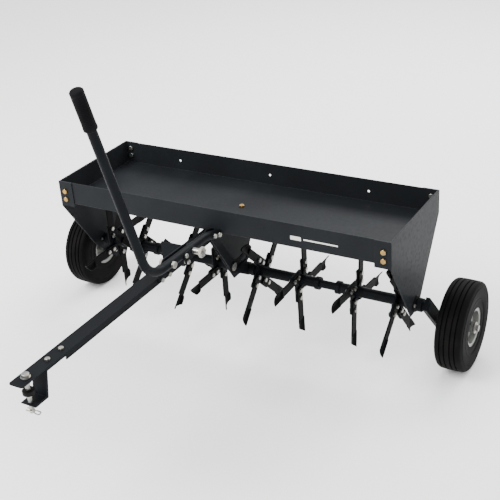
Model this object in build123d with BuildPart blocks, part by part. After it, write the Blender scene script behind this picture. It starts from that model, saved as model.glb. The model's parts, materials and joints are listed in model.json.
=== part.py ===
"""Tow-behind plug aerator with a weight tray, a lever lift and two pneumatic wheels.

Units are millimetres. X runs across the machine, +Y points to the rear, +Z is up.
The origin is on the ground, under the middle of the machine's outer box.
"""
import math
import os

from build123d import *

os.makedirs("parts", exist_ok=True)

# ---- driving dimensions -------------------------------------------------------------
TRAY_LENGTH = 1143.0
TRAY_DEPTH = 364.0
TRAY_HEIGHT = 75.0
SHEET = 2.0
END_SHEET = 3.0
END_FLANGE_WIDTH = 51.0

TYRE_DIAMETER = 280.0
TYRE_WIDTH = 86.0
RIM_DIAMETER = 132.0
WHEEL_OUTSET = 114.5
CRANK_REACH = 129.0
CRANK_DROP_ANGLE = 47.0
SHAFT_DIAMETER = 25.4
SHAFT_BELOW_RIM = 290.5
PLATE_BELOW_SHAFT = 24.0
SPINDLE_DIAMETER = 19.0

SLEEVE_WALL = 3.9
TINE_REACH = 186.0
TINE_WIDTH = 28.0
TINE_THICKNESS = 5.0
TINE_OFFSET = 21.0

DRAWBAR_NOSE = 1047.0
DRAWBAR_WIDTH = 43.0
DRAWBAR_DEPTH = 20.0
DRAWBAR_SHEET = 3.0
DRAWBAR_X = -13.0
HITCH_GAP = 69.0
HITCH_PIN_DIAMETER = 12.7

HANDLE_TUBE_DIAMETER = 26.0
HANDLE_WALL = 2.0
HANDLE_RISE = 618.5
GRIP_DIAMETER = 36.0
GRIP_LENGTH = 112.0
LIFT_RATIO = 0.29
LEVER_REACH = 120.0
LEVER_ANGLE = 150.0
LIFT_TRAVEL = 60.0

# ---- named clearances ---------------------------------------------------------------
RUN_GAP = 0.08
WELD_GAP = 0.02
SIDE_GAP = 1.0
BODY_GAP = 0.4
BOLT_GAP = 0.3
NUT_GAP = 0.05

# ---- derived places -----------------------------------------------------------------
TYRE_R = TYRE_DIAMETER / 2
SHAFT_R = SHAFT_DIAMETER / 2
SPINDLE_R = SPINDLE_DIAMETER / 2
HANDLE_R = HANDLE_TUBE_DIAMETER / 2
WHEEL_BACK = CRANK_REACH * math.cos(math.radians(CRANK_DROP_ANGLE))
AXLE_Z = TYRE_R + CRANK_REACH * math.sin(math.radians(CRANK_DROP_ANGLE))
RIM_Z = AXLE_Z + SHAFT_BELOW_RIM
TRAY_Z = RIM_Z - TRAY_HEIGHT
TRAY_Y = (DRAWBAR_NOSE - WHEEL_BACK - TYRE_R) / 2
FRONT = -TRAY_DEPTH / 2
BACK = TRAY_DEPTH / 2
HALF = TRAY_LENGTH / 2
WHEEL_X = TRAY_LENGTH / 2 + WHEEL_OUTSET


def side_plane(x):
    """A plane across X, where a sketch's first axis is +Y from the tray's centre and its second is +Z."""
    return Plane(origin=(x, TRAY_Y, 0), x_dir=(0, 1, 0), z_dir=(1, 0, 0))


def front_plane(y):
    """A plane that faces forward, y behind the tray's centre, where a sketch has X and +Z."""
    return Plane(origin=(0, TRAY_Y + y, 0), x_dir=(1, 0, 0), z_dir=(0, -1, 0))


def level_plane(z):
    """A level plane at height z, where a sketch has X and +Y from the tray's centre."""
    return Plane(origin=(0, TRAY_Y, z))


def facing(x, y, z, direction):
    """A plane at a point (y from the tray's centre) whose normal is the given direction."""
    return Plane(origin=(x, TRAY_Y + y, z), z_dir=direction)


def polar(y, z, reach, angle):
    """The side-view point at a reach and an angle (degrees, from +Y towards +Z) about (y, z)."""
    turn = math.radians(angle)
    return (y + reach * math.cos(turn), z + reach * math.sin(turn))


def hex_bolt(shank_r, length, across, head):
    """A hex bolt whose head sits on the XY plane, rising along +Z, with its shank below."""
    with BuildPart() as bolt:
        with BuildSketch():
            RegularPolygon(across / 2, 6, major_radius=False)
        extrude(amount=head)
        with BuildPart(mode=Mode.INTERSECT):
            Cylinder(across * 0.57, head, align=(Align.CENTER, Align.CENTER, Align.MIN))
            chamfer(faces().sort_by(Axis.Z)[-1].edges(), head * 0.25)
        with Locations((0, 0, -length)):
            Cylinder(shank_r, length, align=(Align.CENTER, Align.CENTER, Align.MIN))
        chamfer(faces().sort_by(Axis.Z)[0].edges(), shank_r * 0.2)
    return bolt.part


def hex_nut(bore_r, across, height):
    """A hex nut that stands on the XY plane and rises along +Z."""
    with BuildPart() as nut:
        with BuildSketch():
            RegularPolygon(across / 2, 6, major_radius=False)
            Circle(bore_r, mode=Mode.SUBTRACT)
        extrude(amount=height)
    return nut.part


def washer(bore_r, outer_r, thickness):
    """A flat washer that stands on the XY plane and rises along +Z."""
    with BuildPart() as ring:
        with BuildSketch():
            Circle(outer_r)
            Circle(bore_r, mode=Mode.SUBTRACT)
        extrude(amount=thickness)
    return ring.part


# ---- weight tray and its corner bolts -----------------------------------------------
CORNER_X = HALF - 23.0
FRONT_BOLT_Z = (RIM_Z - 32.5, RIM_Z - 59.5)
REAR_BOLT_Z = (RIM_Z - 22.0, RIM_Z - 47.0)
CORNER_BOLT_R = 4.0
FLOOR_BOLT_X = -4.0
FLOOR_BOLT_R = 4.0
WALL_HOLE_R = 4.0
WALL_HOLE_PITCH = 346.0
WALL_HOLE_Z = RIM_Z - 40.0
TRAY_BEND_R = 4.0

with BuildPart() as weight_tray:
    with BuildSketch(level_plane(TRAY_Z)):
        Rectangle(TRAY_LENGTH - 2 * END_SHEET, TRAY_DEPTH)
    extrude(amount=TRAY_HEIGHT)
    fillet(weight_tray.faces().sort_by(Axis.Z)[0].edges(), TRAY_BEND_R)
    with BuildSketch(level_plane(TRAY_Z + SHEET)):
        Rectangle(TRAY_LENGTH - 2 * END_SHEET - 2 * SHEET, TRAY_DEPTH - 2 * SHEET)
    extrude(amount=TRAY_HEIGHT, mode=Mode.SUBTRACT)
    with BuildSketch(front_plane(FRONT)):
        with Locations(*[(side * CORNER_X, z) for side in (-1, 1) for z in FRONT_BOLT_Z]):
            Circle(CORNER_BOLT_R + BOLT_GAP)
    extrude(amount=-SHEET, mode=Mode.SUBTRACT)
    with BuildSketch(front_plane(BACK)):
        with Locations(*[(side * CORNER_X, z) for side in (-1, 1) for z in REAR_BOLT_Z]):
            Circle(CORNER_BOLT_R + BOLT_GAP)
        with Locations(*[(step * WALL_HOLE_PITCH, WALL_HOLE_Z) for step in (-1, 0, 1)]):
            Circle(WALL_HOLE_R)
    extrude(amount=SHEET, mode=Mode.SUBTRACT)
    with BuildSketch(level_plane(TRAY_Z)):
        with Locations((FLOOR_BOLT_X, 0)):
            Circle(FLOOR_BOLT_R + BOLT_GAP)
    extrude(amount=SHEET, mode=Mode.SUBTRACT)
weight_tray.part.label = "weight_tray"
export_step(weight_tray.part, "parts/weight_tray.step")

CORNER_GRIP = END_SHEET + SHEET
corner_bolt = hex_bolt(CORNER_BOLT_R, CORNER_GRIP + 9.0, 15.0, 5.5)
corner_nut = hex_nut(CORNER_BOLT_R + NUT_GAP, 13.0, 6.0)

with BuildPart() as tray_front_bolts:
    for side in (-1, 1):
        for z in FRONT_BOLT_Z:
            with Locations(facing(side * CORNER_X, FRONT - END_SHEET, z, (0, -1, 0))):
                add(corner_bolt)
            with Locations(facing(side * CORNER_X, FRONT + SHEET, z, (0, 1, 0))):
                add(corner_nut)
tray_front_bolts.part.label = "tray_front_bolts"
export_step(tray_front_bolts.part, "parts/tray_front_bolts.step")

with BuildPart() as tray_rear_bolts:
    for side in (-1, 1):
        for z in REAR_BOLT_Z:
            with Locations(facing(side * CORNER_X, BACK - SHEET, z, (0, -1, 0))):
                add(corner_bolt)
            with Locations(facing(side * CORNER_X, BACK + END_SHEET, z, (0, 1, 0))):
                add(corner_nut)
tray_rear_bolts.part.label = "tray_rear_bolts"
export_step(tray_rear_bolts.part, "parts/tray_rear_bolts.step")

# ---- tapered plates that carry the shaft --------------------------------------------
BUSH_WALL = 3.6
BUSH_R = SHAFT_R + BUSH_WALL
BUSH_FLANGE_R = 24.0
BUSH_FLANGE = 4.0
BUSH_BOLT_R = 3.0
BUSH_NUT = 10.0
BUSH_BOLT_CIRCLE = BUSH_R + BUSH_NUT * 0.62
PLATE_FOOT_FRONT = -38.0
PLATE_FOOT_BACK = 33.0
PLATE_FOOT_CORNER = 5.0
PLATE_FOOT_CUT = 17.0
FRONT_SHOULDER_Z = TRAY_Z - 12.0
FRONT_FLANGE_DROP = 9.0


def foot_points(top_z, front, back):
    """A plate's side outline: from its top edge down to the shaft, given its front and rear shoulders."""
    foot_z = AXLE_Z - PLATE_BELOW_SHAFT
    return [
        (front[0], top_z),
        front,
        (PLATE_FOOT_FRONT, foot_z),
        (PLATE_FOOT_CORNER, foot_z),
        (PLATE_FOOT_BACK, foot_z + PLATE_FOOT_CUT),
        back,
        (back[0], top_z),
    ]


BUSH_BOLT_SPOTS = [polar(0, AXLE_Z, BUSH_BOLT_CIRCLE, angle) for angle in (15, 165)]

for name, side in (("left_end_plate", -1), ("right_end_plate", 1)):
    with BuildPart() as end_plate:
        with BuildSketch(side_plane(side * (HALF - END_SHEET))):
            with BuildLine():
                shoulders = ((FRONT - END_SHEET, FRONT_SHOULDER_Z), (BACK + END_SHEET, TRAY_Z))
                Polyline(*foot_points(RIM_Z, *shoulders), close=True)
            make_face()
            with Locations((0, AXLE_Z)):
                Circle(BUSH_R + WELD_GAP, mode=Mode.SUBTRACT)
            with Locations(*BUSH_BOLT_SPOTS):
                Circle(BUSH_BOLT_R + BOLT_GAP, mode=Mode.SUBTRACT)
        extrude(amount=side * END_SHEET)
        flange_x = side * (HALF - END_FLANGE_WIDTH / 2)
        front_low = TRAY_Z - FRONT_FLANGE_DROP
        with BuildSketch(front_plane(FRONT)):
            with Locations((flange_x, (RIM_Z + front_low) / 2)):
                Rectangle(END_FLANGE_WIDTH, RIM_Z - front_low)
            with Locations(*[(side * CORNER_X, z) for z in FRONT_BOLT_Z]):
                Circle(CORNER_BOLT_R + BOLT_GAP, mode=Mode.SUBTRACT)
        extrude(amount=END_SHEET)
        with BuildSketch(front_plane(BACK + END_SHEET)):
            with Locations((flange_x, (RIM_Z + TRAY_Z) / 2)):
                Rectangle(END_FLANGE_WIDTH, TRAY_HEIGHT)
            with Locations(*[(side * CORNER_X, z) for z in REAR_BOLT_Z]):
                Circle(CORNER_BOLT_R + BOLT_GAP, mode=Mode.SUBTRACT)
        extrude(amount=END_SHEET)
    end_plate.part.label = name
    export_step(end_plate.part, f"parts/{name}.step")

# The hanger's web stands against the inside of the drawbar's left flange.
DRAWBAR_LEFT = DRAWBAR_X - DRAWBAR_WIDTH / 2
DRAWBAR_RIGHT = DRAWBAR_X + DRAWBAR_WIDTH / 2
HANGER_SHEET = 3.0
HANGER_X = DRAWBAR_LEFT + DRAWBAR_SHEET
HANGER_FLANGE_WIDTH = 46.0
HANGER_INSET = 6.0
DRAWBAR_END = -62.0
HANGER_BOLT_YS = (-158.0, -104.0)
FLANGE_BOLT_Z = TRAY_Z - 11.5
BRACKET_BOLT_R = 4.0

with BuildPart() as center_hanger:
    with BuildSketch(side_plane(HANGER_X)):
        with BuildLine():
            hanger_top = TRAY_Z - DRAWBAR_SHEET
            front_shoulder = (FRONT + HANGER_INSET, hanger_top - DRAWBAR_DEPTH)
            rear_shoulder = (BACK - HANGER_INSET, hanger_top - HANGER_SHEET)
            Polyline(*foot_points(hanger_top, front_shoulder, rear_shoulder), close=True)
        make_face()
        with Locations((0, AXLE_Z)):
            Circle(BUSH_R + WELD_GAP, mode=Mode.SUBTRACT)
        with Locations(*BUSH_BOLT_SPOTS):
            Circle(BUSH_BOLT_R + BOLT_GAP, mode=Mode.SUBTRACT)
        with Locations(*[(y, FLANGE_BOLT_Z) for y in HANGER_BOLT_YS]):
            Circle(BRACKET_BOLT_R + BOLT_GAP, mode=Mode.SUBTRACT)
    extrude(amount=HANGER_SHEET)
    flange_front = DRAWBAR_END + BODY_GAP
    flange_back = BACK - HANGER_INSET
    with BuildSketch(level_plane(TRAY_Z - HANGER_SHEET)):
        with Locations((HANGER_X + HANGER_FLANGE_WIDTH / 2, (flange_front + flange_back) / 2)):
            Rectangle(HANGER_FLANGE_WIDTH, flange_back - flange_front)
        with Locations((FLOOR_BOLT_X, 0)):
            Circle(FLOOR_BOLT_R + BOLT_GAP, mode=Mode.SUBTRACT)
    extrude(amount=HANGER_SHEET)
center_hanger.part.label = "center_hanger"
export_step(center_hanger.part, "parts/center_hanger.step")

floor_bolt = hex_bolt(FLOOR_BOLT_R, SHEET + HANGER_SHEET + 9.0, 15.0, 5.5)
with BuildPart() as hanger_floor_bolt:
    with Locations(facing(FLOOR_BOLT_X, 0, TRAY_Z + SHEET, (0, 0, 1))):
        add(floor_bolt)
    with Locations(facing(FLOOR_BOLT_X, 0, TRAY_Z - HANGER_SHEET, (0, 0, -1))):
        add(hex_nut(FLOOR_BOLT_R + NUT_GAP, 13.0, 6.0))
hanger_floor_bolt.part.label = "hanger_floor_bolt"
export_step(hanger_floor_bolt.part, "parts/hanger_floor_bolt.step")

# ---- shaft bearings -----------------------------------------------------------------
# Each bearing's flange stands on the outside of its plate: x of the plate's face and the way out.
HANGER_FACE = HANGER_X
BEARING_SEATS = ((-HALF, -1, END_SHEET), (HANGER_FACE, -1, HANGER_SHEET), (HALF, 1, END_SHEET))

with BuildPart() as shaft_bearings:
    for face_x, out, plate in BEARING_SEATS:
        with BuildSketch(side_plane(face_x)):
            with Locations((0, AXLE_Z)):
                Circle(BUSH_FLANGE_R)
            with Locations(*BUSH_BOLT_SPOTS):
                Circle(BUSH_NUT * 0.65)
            make_hull()
            with Locations((0, AXLE_Z)):
                Circle(SHAFT_R + RUN_GAP, mode=Mode.SUBTRACT)
            with Locations(*BUSH_BOLT_SPOTS):
                Circle(BUSH_BOLT_R + BOLT_GAP, mode=Mode.SUBTRACT)
        extrude(amount=out * BUSH_FLANGE)
        with BuildSketch(side_plane(face_x)):
            with Locations((0, AXLE_Z)):
                Circle(BUSH_R)
                Circle(SHAFT_R + RUN_GAP, mode=Mode.SUBTRACT)
        extrude(amount=-out * (plate + 5.0))
shaft_bearings.part.label = "shaft_bearings"
export_step(shaft_bearings.part, "parts/shaft_bearings.step")

BEARING_BOLT_HEAD = 4.0
BEARING_NUT = 4.0
with BuildPart() as bearing_bolts:
    for face_x, out, plate in BEARING_SEATS:
        for y, z in BUSH_BOLT_SPOTS:
            with Locations(facing(face_x + out * BUSH_FLANGE, y, z, (out, 0, 0))):
                shank = BUSH_FLANGE + plate + BEARING_NUT + 1.5
                add(hex_bolt(BUSH_BOLT_R, shank, BUSH_NUT, BEARING_BOLT_HEAD))
            with Locations(facing(face_x - out * plate, y, z, (-out, 0, 0))):
                add(hex_nut(BUSH_BOLT_R + NUT_GAP, BUSH_NUT, BEARING_NUT))
bearing_bolts.part.label = "bearing_bolts"
export_step(bearing_bolts.part, "parts/bearing_bolts.step")

# ---- drawbar and hitch --------------------------------------------------------------
DRAWBAR_TOP = TRAY_Z
FLANGE_START = -DRAWBAR_NOSE + 161.0
HITCH_BOLT_YS = (-DRAWBAR_NOSE + 170.0, -DRAWBAR_NOSE + 118.0)
HITCH_BOLT_R = 4.0
HITCH_PIN_Y = -DRAWBAR_NOSE + 38.0
HITCH_PIN_R = HITCH_PIN_DIAMETER / 2
NOSE_CORNER_R = 7.0

BRACKET_SHEET = 4.0
BRACKET_X = DRAWBAR_RIGHT
BRACKET_RIGHT = BRACKET_X + BRACKET_SHEET
HANDLE_X = BRACKET_RIGHT + SIDE_GAP + HANDLE_R
BRACKET_BOLT_YS = (-472.0, -436.0)
SIDE_BRACKET_Y = -295.0
SIDE_BRACKET_SHEET = 4.0
SIDE_BRACKET_BOLT_YS = (SIDE_BRACKET_Y + 16.0, SIDE_BRACKET_Y + 38.0)

with BuildPart() as drawbar:
    with BuildSketch(level_plane(DRAWBAR_TOP - DRAWBAR_SHEET)) as drawbar_top:
        with Locations((DRAWBAR_X, (DRAWBAR_END - DRAWBAR_NOSE) / 2)):
            Rectangle(DRAWBAR_WIDTH, DRAWBAR_NOSE + DRAWBAR_END)
        fillet(drawbar_top.vertices().group_by(Axis.Y)[0], NOSE_CORNER_R)
        with Locations(*[(DRAWBAR_X, y) for y in HITCH_BOLT_YS]):
            Circle(HITCH_BOLT_R + BOLT_GAP, mode=Mode.SUBTRACT)
        with Locations((DRAWBAR_X, HITCH_PIN_Y)):
            Circle(HITCH_PIN_R + RUN_GAP, mode=Mode.SUBTRACT)
    extrude(amount=DRAWBAR_SHEET)
    for inner_x, out in ((DRAWBAR_LEFT + DRAWBAR_SHEET, -1), (DRAWBAR_RIGHT - DRAWBAR_SHEET, 1)):
        with BuildSketch(side_plane(inner_x)):
            with Locations(((FLANGE_START + DRAWBAR_END) / 2, DRAWBAR_TOP - DRAWBAR_DEPTH / 2)):
                Rectangle(DRAWBAR_END - FLANGE_START, DRAWBAR_DEPTH)
            if out < 0:
                with Locations(*[(y, FLANGE_BOLT_Z) for y in HANGER_BOLT_YS]):
                    Circle(BRACKET_BOLT_R + BOLT_GAP, mode=Mode.SUBTRACT)
                with Locations(*[(y, FLANGE_BOLT_Z) for y in SIDE_BRACKET_BOLT_YS]):
                    Circle(BRACKET_BOLT_R + BOLT_GAP, mode=Mode.SUBTRACT)
            else:
                with Locations(*[(y, FLANGE_BOLT_Z) for y in BRACKET_BOLT_YS]):
                    Circle(BRACKET_BOLT_R + BOLT_GAP, mode=Mode.SUBTRACT)
        extrude(amount=out * DRAWBAR_SHEET)
drawbar.part.label = "drawbar"
export_step(drawbar.part, "parts/drawbar.step")

left_bolts = [(y, DRAWBAR_LEFT, HANGER_X + HANGER_SHEET) for y in HANGER_BOLT_YS]
side_face = DRAWBAR_LEFT - SIDE_BRACKET_SHEET
left_bolts += [(y, side_face, DRAWBAR_LEFT + DRAWBAR_SHEET) for y in SIDE_BRACKET_BOLT_YS]
with BuildPart() as drawbar_bolts:
    for y, head_face, nut_face in left_bolts:
        with Locations(facing(head_face, y, FLANGE_BOLT_Z, (-1, 0, 0))):
            add(hex_bolt(BRACKET_BOLT_R, nut_face - head_face + 8.0, 13.0, 5.0))
        with Locations(facing(nut_face, y, FLANGE_BOLT_Z, (1, 0, 0))):
            add(hex_nut(BRACKET_BOLT_R + NUT_GAP, 13.0, 6.0))
drawbar_bolts.part.label = "drawbar_bolts"
export_step(drawbar_bolts.part, "parts/drawbar_bolts.step")

# The strap is bolted under the nose, drops and turns forward as the hitch's lower jaw.
STRAP = 6.0
STRAP_TOP_Z = DRAWBAR_TOP - DRAWBAR_SHEET
STRAP_BACK = -DRAWBAR_NOSE + 192.0
STRAP_LEAN = 12.0
STRAP_WALL_FRONT = -DRAWBAR_NOSE + 84.0
JAW_FRONT = -DRAWBAR_NOSE + 27.0
JAW_TOP_Z = STRAP_TOP_Z - HITCH_GAP

with BuildPart() as hitch_strap:
    with BuildSketch(side_plane(DRAWBAR_LEFT)) as strap_side:
        with BuildLine():
            Polyline(
                (STRAP_BACK, STRAP_TOP_Z),
                (STRAP_WALL_FRONT, STRAP_TOP_Z),
                (STRAP_WALL_FRONT - STRAP_LEAN, JAW_TOP_Z),
                (JAW_FRONT, JAW_TOP_Z),
                (JAW_FRONT, JAW_TOP_Z - STRAP),
                (STRAP_WALL_FRONT + STRAP - STRAP_LEAN, JAW_TOP_Z - STRAP),
                (STRAP_WALL_FRONT + STRAP, STRAP_TOP_Z - STRAP),
                (STRAP_BACK, STRAP_TOP_Z - STRAP),
                close=True,
            )
        make_face()
        lower_bend = strap_side.vertices().group_by(Axis.Z)[0].sort_by(Axis.Y)[-1]
        upper_bend = strap_side.vertices().group_by(Axis.Z)[-1].sort_by(Axis.Y)[0]
        fillet([lower_bend, upper_bend], STRAP)
    extrude(amount=DRAWBAR_WIDTH)
    with BuildSketch(level_plane(STRAP_TOP_Z - STRAP)):
        inside_length = STRAP_BACK - FLANGE_START + SIDE_GAP
        with Locations(*[(x, STRAP_BACK - inside_length / 2) for x in (DRAWBAR_LEFT, DRAWBAR_RIGHT)]):
            Rectangle(2 * (DRAWBAR_SHEET + SIDE_GAP), inside_length)
        with Locations(*[(DRAWBAR_X, y) for y in HITCH_BOLT_YS]):
            Circle(HITCH_BOLT_R + BOLT_GAP)
    extrude(amount=STRAP, mode=Mode.SUBTRACT)
    with BuildSketch(level_plane(JAW_TOP_Z - STRAP)):
        with Locations((DRAWBAR_X, HITCH_PIN_Y)):
            Circle(HITCH_PIN_R + RUN_GAP)
    extrude(amount=STRAP, mode=Mode.SUBTRACT)
hitch_strap.part.label = "hitch_strap"
export_step(hitch_strap.part, "parts/hitch_strap.step")

with BuildPart() as hitch_bolts:
    for y in HITCH_BOLT_YS:
        with Locations(facing(DRAWBAR_X, y, DRAWBAR_TOP, (0, 0, 1))):
            add(hex_bolt(HITCH_BOLT_R, DRAWBAR_SHEET + STRAP + 10.0, 13.0, 5.3))
        with Locations(facing(DRAWBAR_X, y, STRAP_TOP_Z - STRAP, (0, 0, -1))):
            add(hex_nut(HITCH_BOLT_R + NUT_GAP, 13.0, 6.8))
hitch_bolts.part.label = "hitch_bolts"
export_step(hitch_bolts.part, "parts/hitch_bolts.step")

PIN_TIP_Z = JAW_TOP_Z - STRAP - 24.0
PIN_HEAD = 9.0
COLLAR_R = 15.5
COLLAR_TOP_Z = STRAP_TOP_Z - 31.0
COLLAR_HEIGHT = 14.0
CLIP_WIRE_R = 1.6
CLIP_Z = PIN_TIP_Z + 9.0

with BuildPart() as hitch_pin:
    with Locations(facing(DRAWBAR_X, HITCH_PIN_Y, DRAWBAR_TOP + 2.5, (0, 0, 1))):
        add(hex_bolt(HITCH_PIN_R, DRAWBAR_TOP + 2.5 - PIN_TIP_Z, 19.0, PIN_HEAD))
    with BuildSketch(side_plane(DRAWBAR_X - HITCH_PIN_R - 1)):
        with Locations((HITCH_PIN_Y, CLIP_Z)):
            Circle(CLIP_WIRE_R + BODY_GAP)
    extrude(amount=2 * HITCH_PIN_R + 2, mode=Mode.SUBTRACT)
hitch_pin.part.label = "hitch_pin"
export_step(hitch_pin.part, "parts/hitch_pin.step")

with BuildPart() as hitch_pin_hardware:
    with Locations(facing(DRAWBAR_X, HITCH_PIN_Y, DRAWBAR_TOP + BODY_GAP / 2, (0, 0, 1))):
        add(washer(HITCH_PIN_R + NUT_GAP, 12.5, 2.5 - BODY_GAP))
    with Locations(facing(DRAWBAR_X, HITCH_PIN_Y, STRAP_TOP_Z - BODY_GAP, (0, 0, -1))):
        add(hex_nut(HITCH_PIN_R + NUT_GAP, 19.0, 11.0))
hitch_pin_hardware.part.label = "hitch_pin_hardware"
export_step(hitch_pin_hardware.part, "parts/hitch_pin_hardware.step")

with BuildPart() as hitch_collar:
    with Locations(facing(DRAWBAR_X, HITCH_PIN_Y, COLLAR_TOP_Z - COLLAR_HEIGHT, (0, 0, 1))):
        add(washer(HITCH_PIN_R + NUT_GAP, COLLAR_R, COLLAR_HEIGHT))
    fillet(hitch_collar.edges().filter_by(GeomType.CIRCLE).group_by(SortBy.RADIUS)[-1], 2.5)
hitch_collar.part.label = "hitch_collar"
export_step(hitch_collar.part, "parts/hitch_collar.step")

# The clip's straight leg passes through the pin; its other leg grips round the outside.
CLIP_REACH = 30.0
CLIP_LOOP_R = 6.0
clip_start = (DRAWBAR_X - HITCH_PIN_R - 8.0, HITCH_PIN_Y)
clip_side_y = HITCH_PIN_Y - HITCH_PIN_R - CLIP_WIRE_R - 0.6
with BuildPart() as hairpin_clip:
    with BuildLine(level_plane(CLIP_Z)) as clip_path:
        FilletPolyline(
            clip_start,
            (DRAWBAR_X + CLIP_REACH, HITCH_PIN_Y),
            (DRAWBAR_X + CLIP_REACH, HITCH_PIN_Y - 2 * CLIP_LOOP_R),
            (DRAWBAR_X + HITCH_PIN_R + 4.0, clip_side_y),
            (DRAWBAR_X - HITCH_PIN_R - 6.0, clip_side_y),
            radius=[CLIP_LOOP_R - 0.2, 4.5, 4.0],
        )
    with BuildSketch(Plane(origin=clip_path.line @ 0, z_dir=clip_path.line % 0)):
        Circle(CLIP_WIRE_R)
    sweep()
hairpin_clip.part.label = "hairpin_clip"
export_step(hairpin_clip.part, "parts/hairpin_clip.step")

# ---- lift handle --------------------------------------------------------------------
# The arm's centre line in the side view: rises in z are counted from the drawbar's top.
ARM_BEND = (-547.0, DRAWBAR_TOP + 34.0)
ARM_REAR_BEND = (-265.0, DRAWBAR_TOP + 26.0)
ARM_END = (-193.0, DRAWBAR_TOP + 5.0)
GRIP_TOP = (-725.0, DRAWBAR_TOP + HANDLE_RISE)
GRIP_CAP = 6.0
MAIN_BEND_R = 88.0
REAR_BEND_R = 120.0


def on_arm(y):
    """The side-view point of the arm's centre line at a given y, between its two bends."""
    share = (y - ARM_BEND[0]) / (ARM_REAR_BEND[0] - ARM_BEND[0])
    return (y, ARM_BEND[1] + share * (ARM_REAR_BEND[1] - ARM_BEND[1]))


PIVOT = on_arm(-450.0)
LATCH = on_arm(-352.0)
PIVOT_BOLT_R = 6.0
LATCH_PIN_R = 5.0
ARM_BOLT_R = 4.0
CAM_BOLT_YS = (-232.0, -207.0)
arm_fall = (ARM_END[1] - ARM_REAR_BEND[1]) / (ARM_END[0] - ARM_REAR_BEND[0])
CAM_BOLTS = [(y, ARM_REAR_BEND[1] + arm_fall * (y - ARM_REAR_BEND[0])) for y in CAM_BOLT_YS]
STRAP_BOLTS = (on_arm(-389.0), (-383.0, on_arm(-383.0)[1] - HANDLE_R - 9.0))
lean = math.hypot(GRIP_TOP[0] - ARM_BEND[0], GRIP_TOP[1] - ARM_BEND[1])
tube_top = tuple(
    GRIP_TOP[i] + (ARM_BEND[i] - GRIP_TOP[i]) * GRIP_CAP / lean for i in (0, 1)
)

with BuildPart() as lift_handle_tube:
    with BuildLine(side_plane(HANDLE_X)) as arm_path:
        FilletPolyline(tube_top, ARM_BEND, ARM_REAR_BEND, ARM_END, radius=[MAIN_BEND_R, REAR_BEND_R])
    with BuildSketch(Plane(origin=arm_path.line @ 0, z_dir=arm_path.line % 0)):
        Circle(HANDLE_R)
        Circle(HANDLE_R - HANDLE_WALL, mode=Mode.SUBTRACT)
    sweep()
    with BuildSketch(side_plane(HANDLE_X - HANDLE_R - 1)):
        with Locations(PIVOT):
            Circle(PIVOT_BOLT_R + RUN_GAP)
        with Locations(LATCH):
            Circle(LATCH_PIN_R + RUN_GAP)
        with Locations(*CAM_BOLTS):
            Circle(ARM_BOLT_R + BOLT_GAP)
    extrude(amount=2 * HANDLE_R + 2, mode=Mode.SUBTRACT)
    with BuildSketch(side_plane(HANDLE_X)):
        with Locations(STRAP_BOLTS[0]):
            Circle(ARM_BOLT_R + BOLT_GAP)
    extrude(amount=HANDLE_R + 1, mode=Mode.SUBTRACT)
lift_handle_tube.part.label = "lift_handle_tube"
export_step(lift_handle_tube.part, "parts/lift_handle_tube.step")

grip_way = tuple((ARM_BEND[i] - GRIP_TOP[i]) / lean for i in (0, 1))
grip_plane = Plane(
    origin=(HANDLE_X, TRAY_Y + GRIP_TOP[0], GRIP_TOP[1]), z_dir=(0, grip_way[0], grip_way[1])
)
with BuildPart() as handle_grip:
    with BuildSketch(grip_plane):
        Circle(GRIP_DIAMETER / 2)
    extrude(amount=GRIP_LENGTH)
    fillet(handle_grip.edges().filter_by(GeomType.CIRCLE), 5.0)
    with BuildSketch(grip_plane.offset(GRIP_CAP)):
        Circle(HANDLE_R + WELD_GAP)
    extrude(amount=GRIP_LENGTH, mode=Mode.SUBTRACT)
handle_grip.part.label = "handle_grip"
export_step(handle_grip.part, "parts/handle_grip.step")

# ---- crank lever, its pin and the cam plate that the pin runs in ---------------------
CAM_SHEET = BRACKET_SHEET
CAM_X = BRACKET_RIGHT + SIDE_GAP - CAM_SHEET
LEVER = 6.0
LEVER_X = CAM_X - BODY_GAP - LEVER
CRANK_PIN_R = 8.0
CAM_RIM = 13.0
CAM_STEM = 30.0
CAM_STEPS = 8


def turned(point, centre, angle):
    """A side-view point turned about a centre by an angle in degrees, from +Y towards +Z."""
    dy, dz = point[0] - centre[0], point[1] - centre[1]
    c, s = math.cos(math.radians(angle)), math.sin(math.radians(angle))
    return (centre[0] + c * dy - s * dz, centre[1] + s * dy + c * dz)


def cam_point(lift):
    """Where the crank pin lies on the cam plate when the shaft has turned by lift degrees."""
    pin = polar(0, AXLE_Z, LEVER_REACH, LEVER_ANGLE + lift)
    return turned(pin, PIVOT, LIFT_RATIO * lift)


CAM_TRACK = [cam_point(LIFT_TRAVEL * step / CAM_STEPS) for step in range(CAM_STEPS + 1)]


def thick_line(points, width):
    """Round-ended strips along consecutive side-view points, one sketch for each span."""
    strips = []
    for (y0, z0), (y1, z1) in zip(points, points[1:]):
        slope = math.degrees(math.atan2(z1 - z0, y1 - y0))
        with BuildSketch(mode=Mode.PRIVATE) as strip:
            with Locations(Location(((y0 + y1) / 2, (z0 + z1) / 2, 0), (0, 0, slope))):
                SlotCenterToCenter(math.hypot(y1 - y0, z1 - z0), width)
        strips.append(strip.sketch)
    return strips


with BuildPart() as cam_plate:
    with BuildSketch(side_plane(CAM_X)):
        elbow = (CAM_TRACK[0][0] - 26.0, CAM_TRACK[0][1] + 40.0)
        for strip in thick_line([*CAM_BOLTS, elbow, CAM_TRACK[0]], CAM_STEM):
            add(strip)
        for strip in thick_line(CAM_TRACK, 2 * (CRANK_PIN_R + CAM_RIM)):
            add(strip)
        for strip in thick_line(CAM_TRACK, 2 * (CRANK_PIN_R + BODY_GAP)):
            add(strip, mode=Mode.SUBTRACT)
        with Locations(*CAM_BOLTS):
            Circle(ARM_BOLT_R + BOLT_GAP, mode=Mode.SUBTRACT)
    extrude(amount=CAM_SHEET)
cam_plate.part.label = "cam_plate"
export_step(cam_plate.part, "parts/cam_plate.step")

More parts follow.
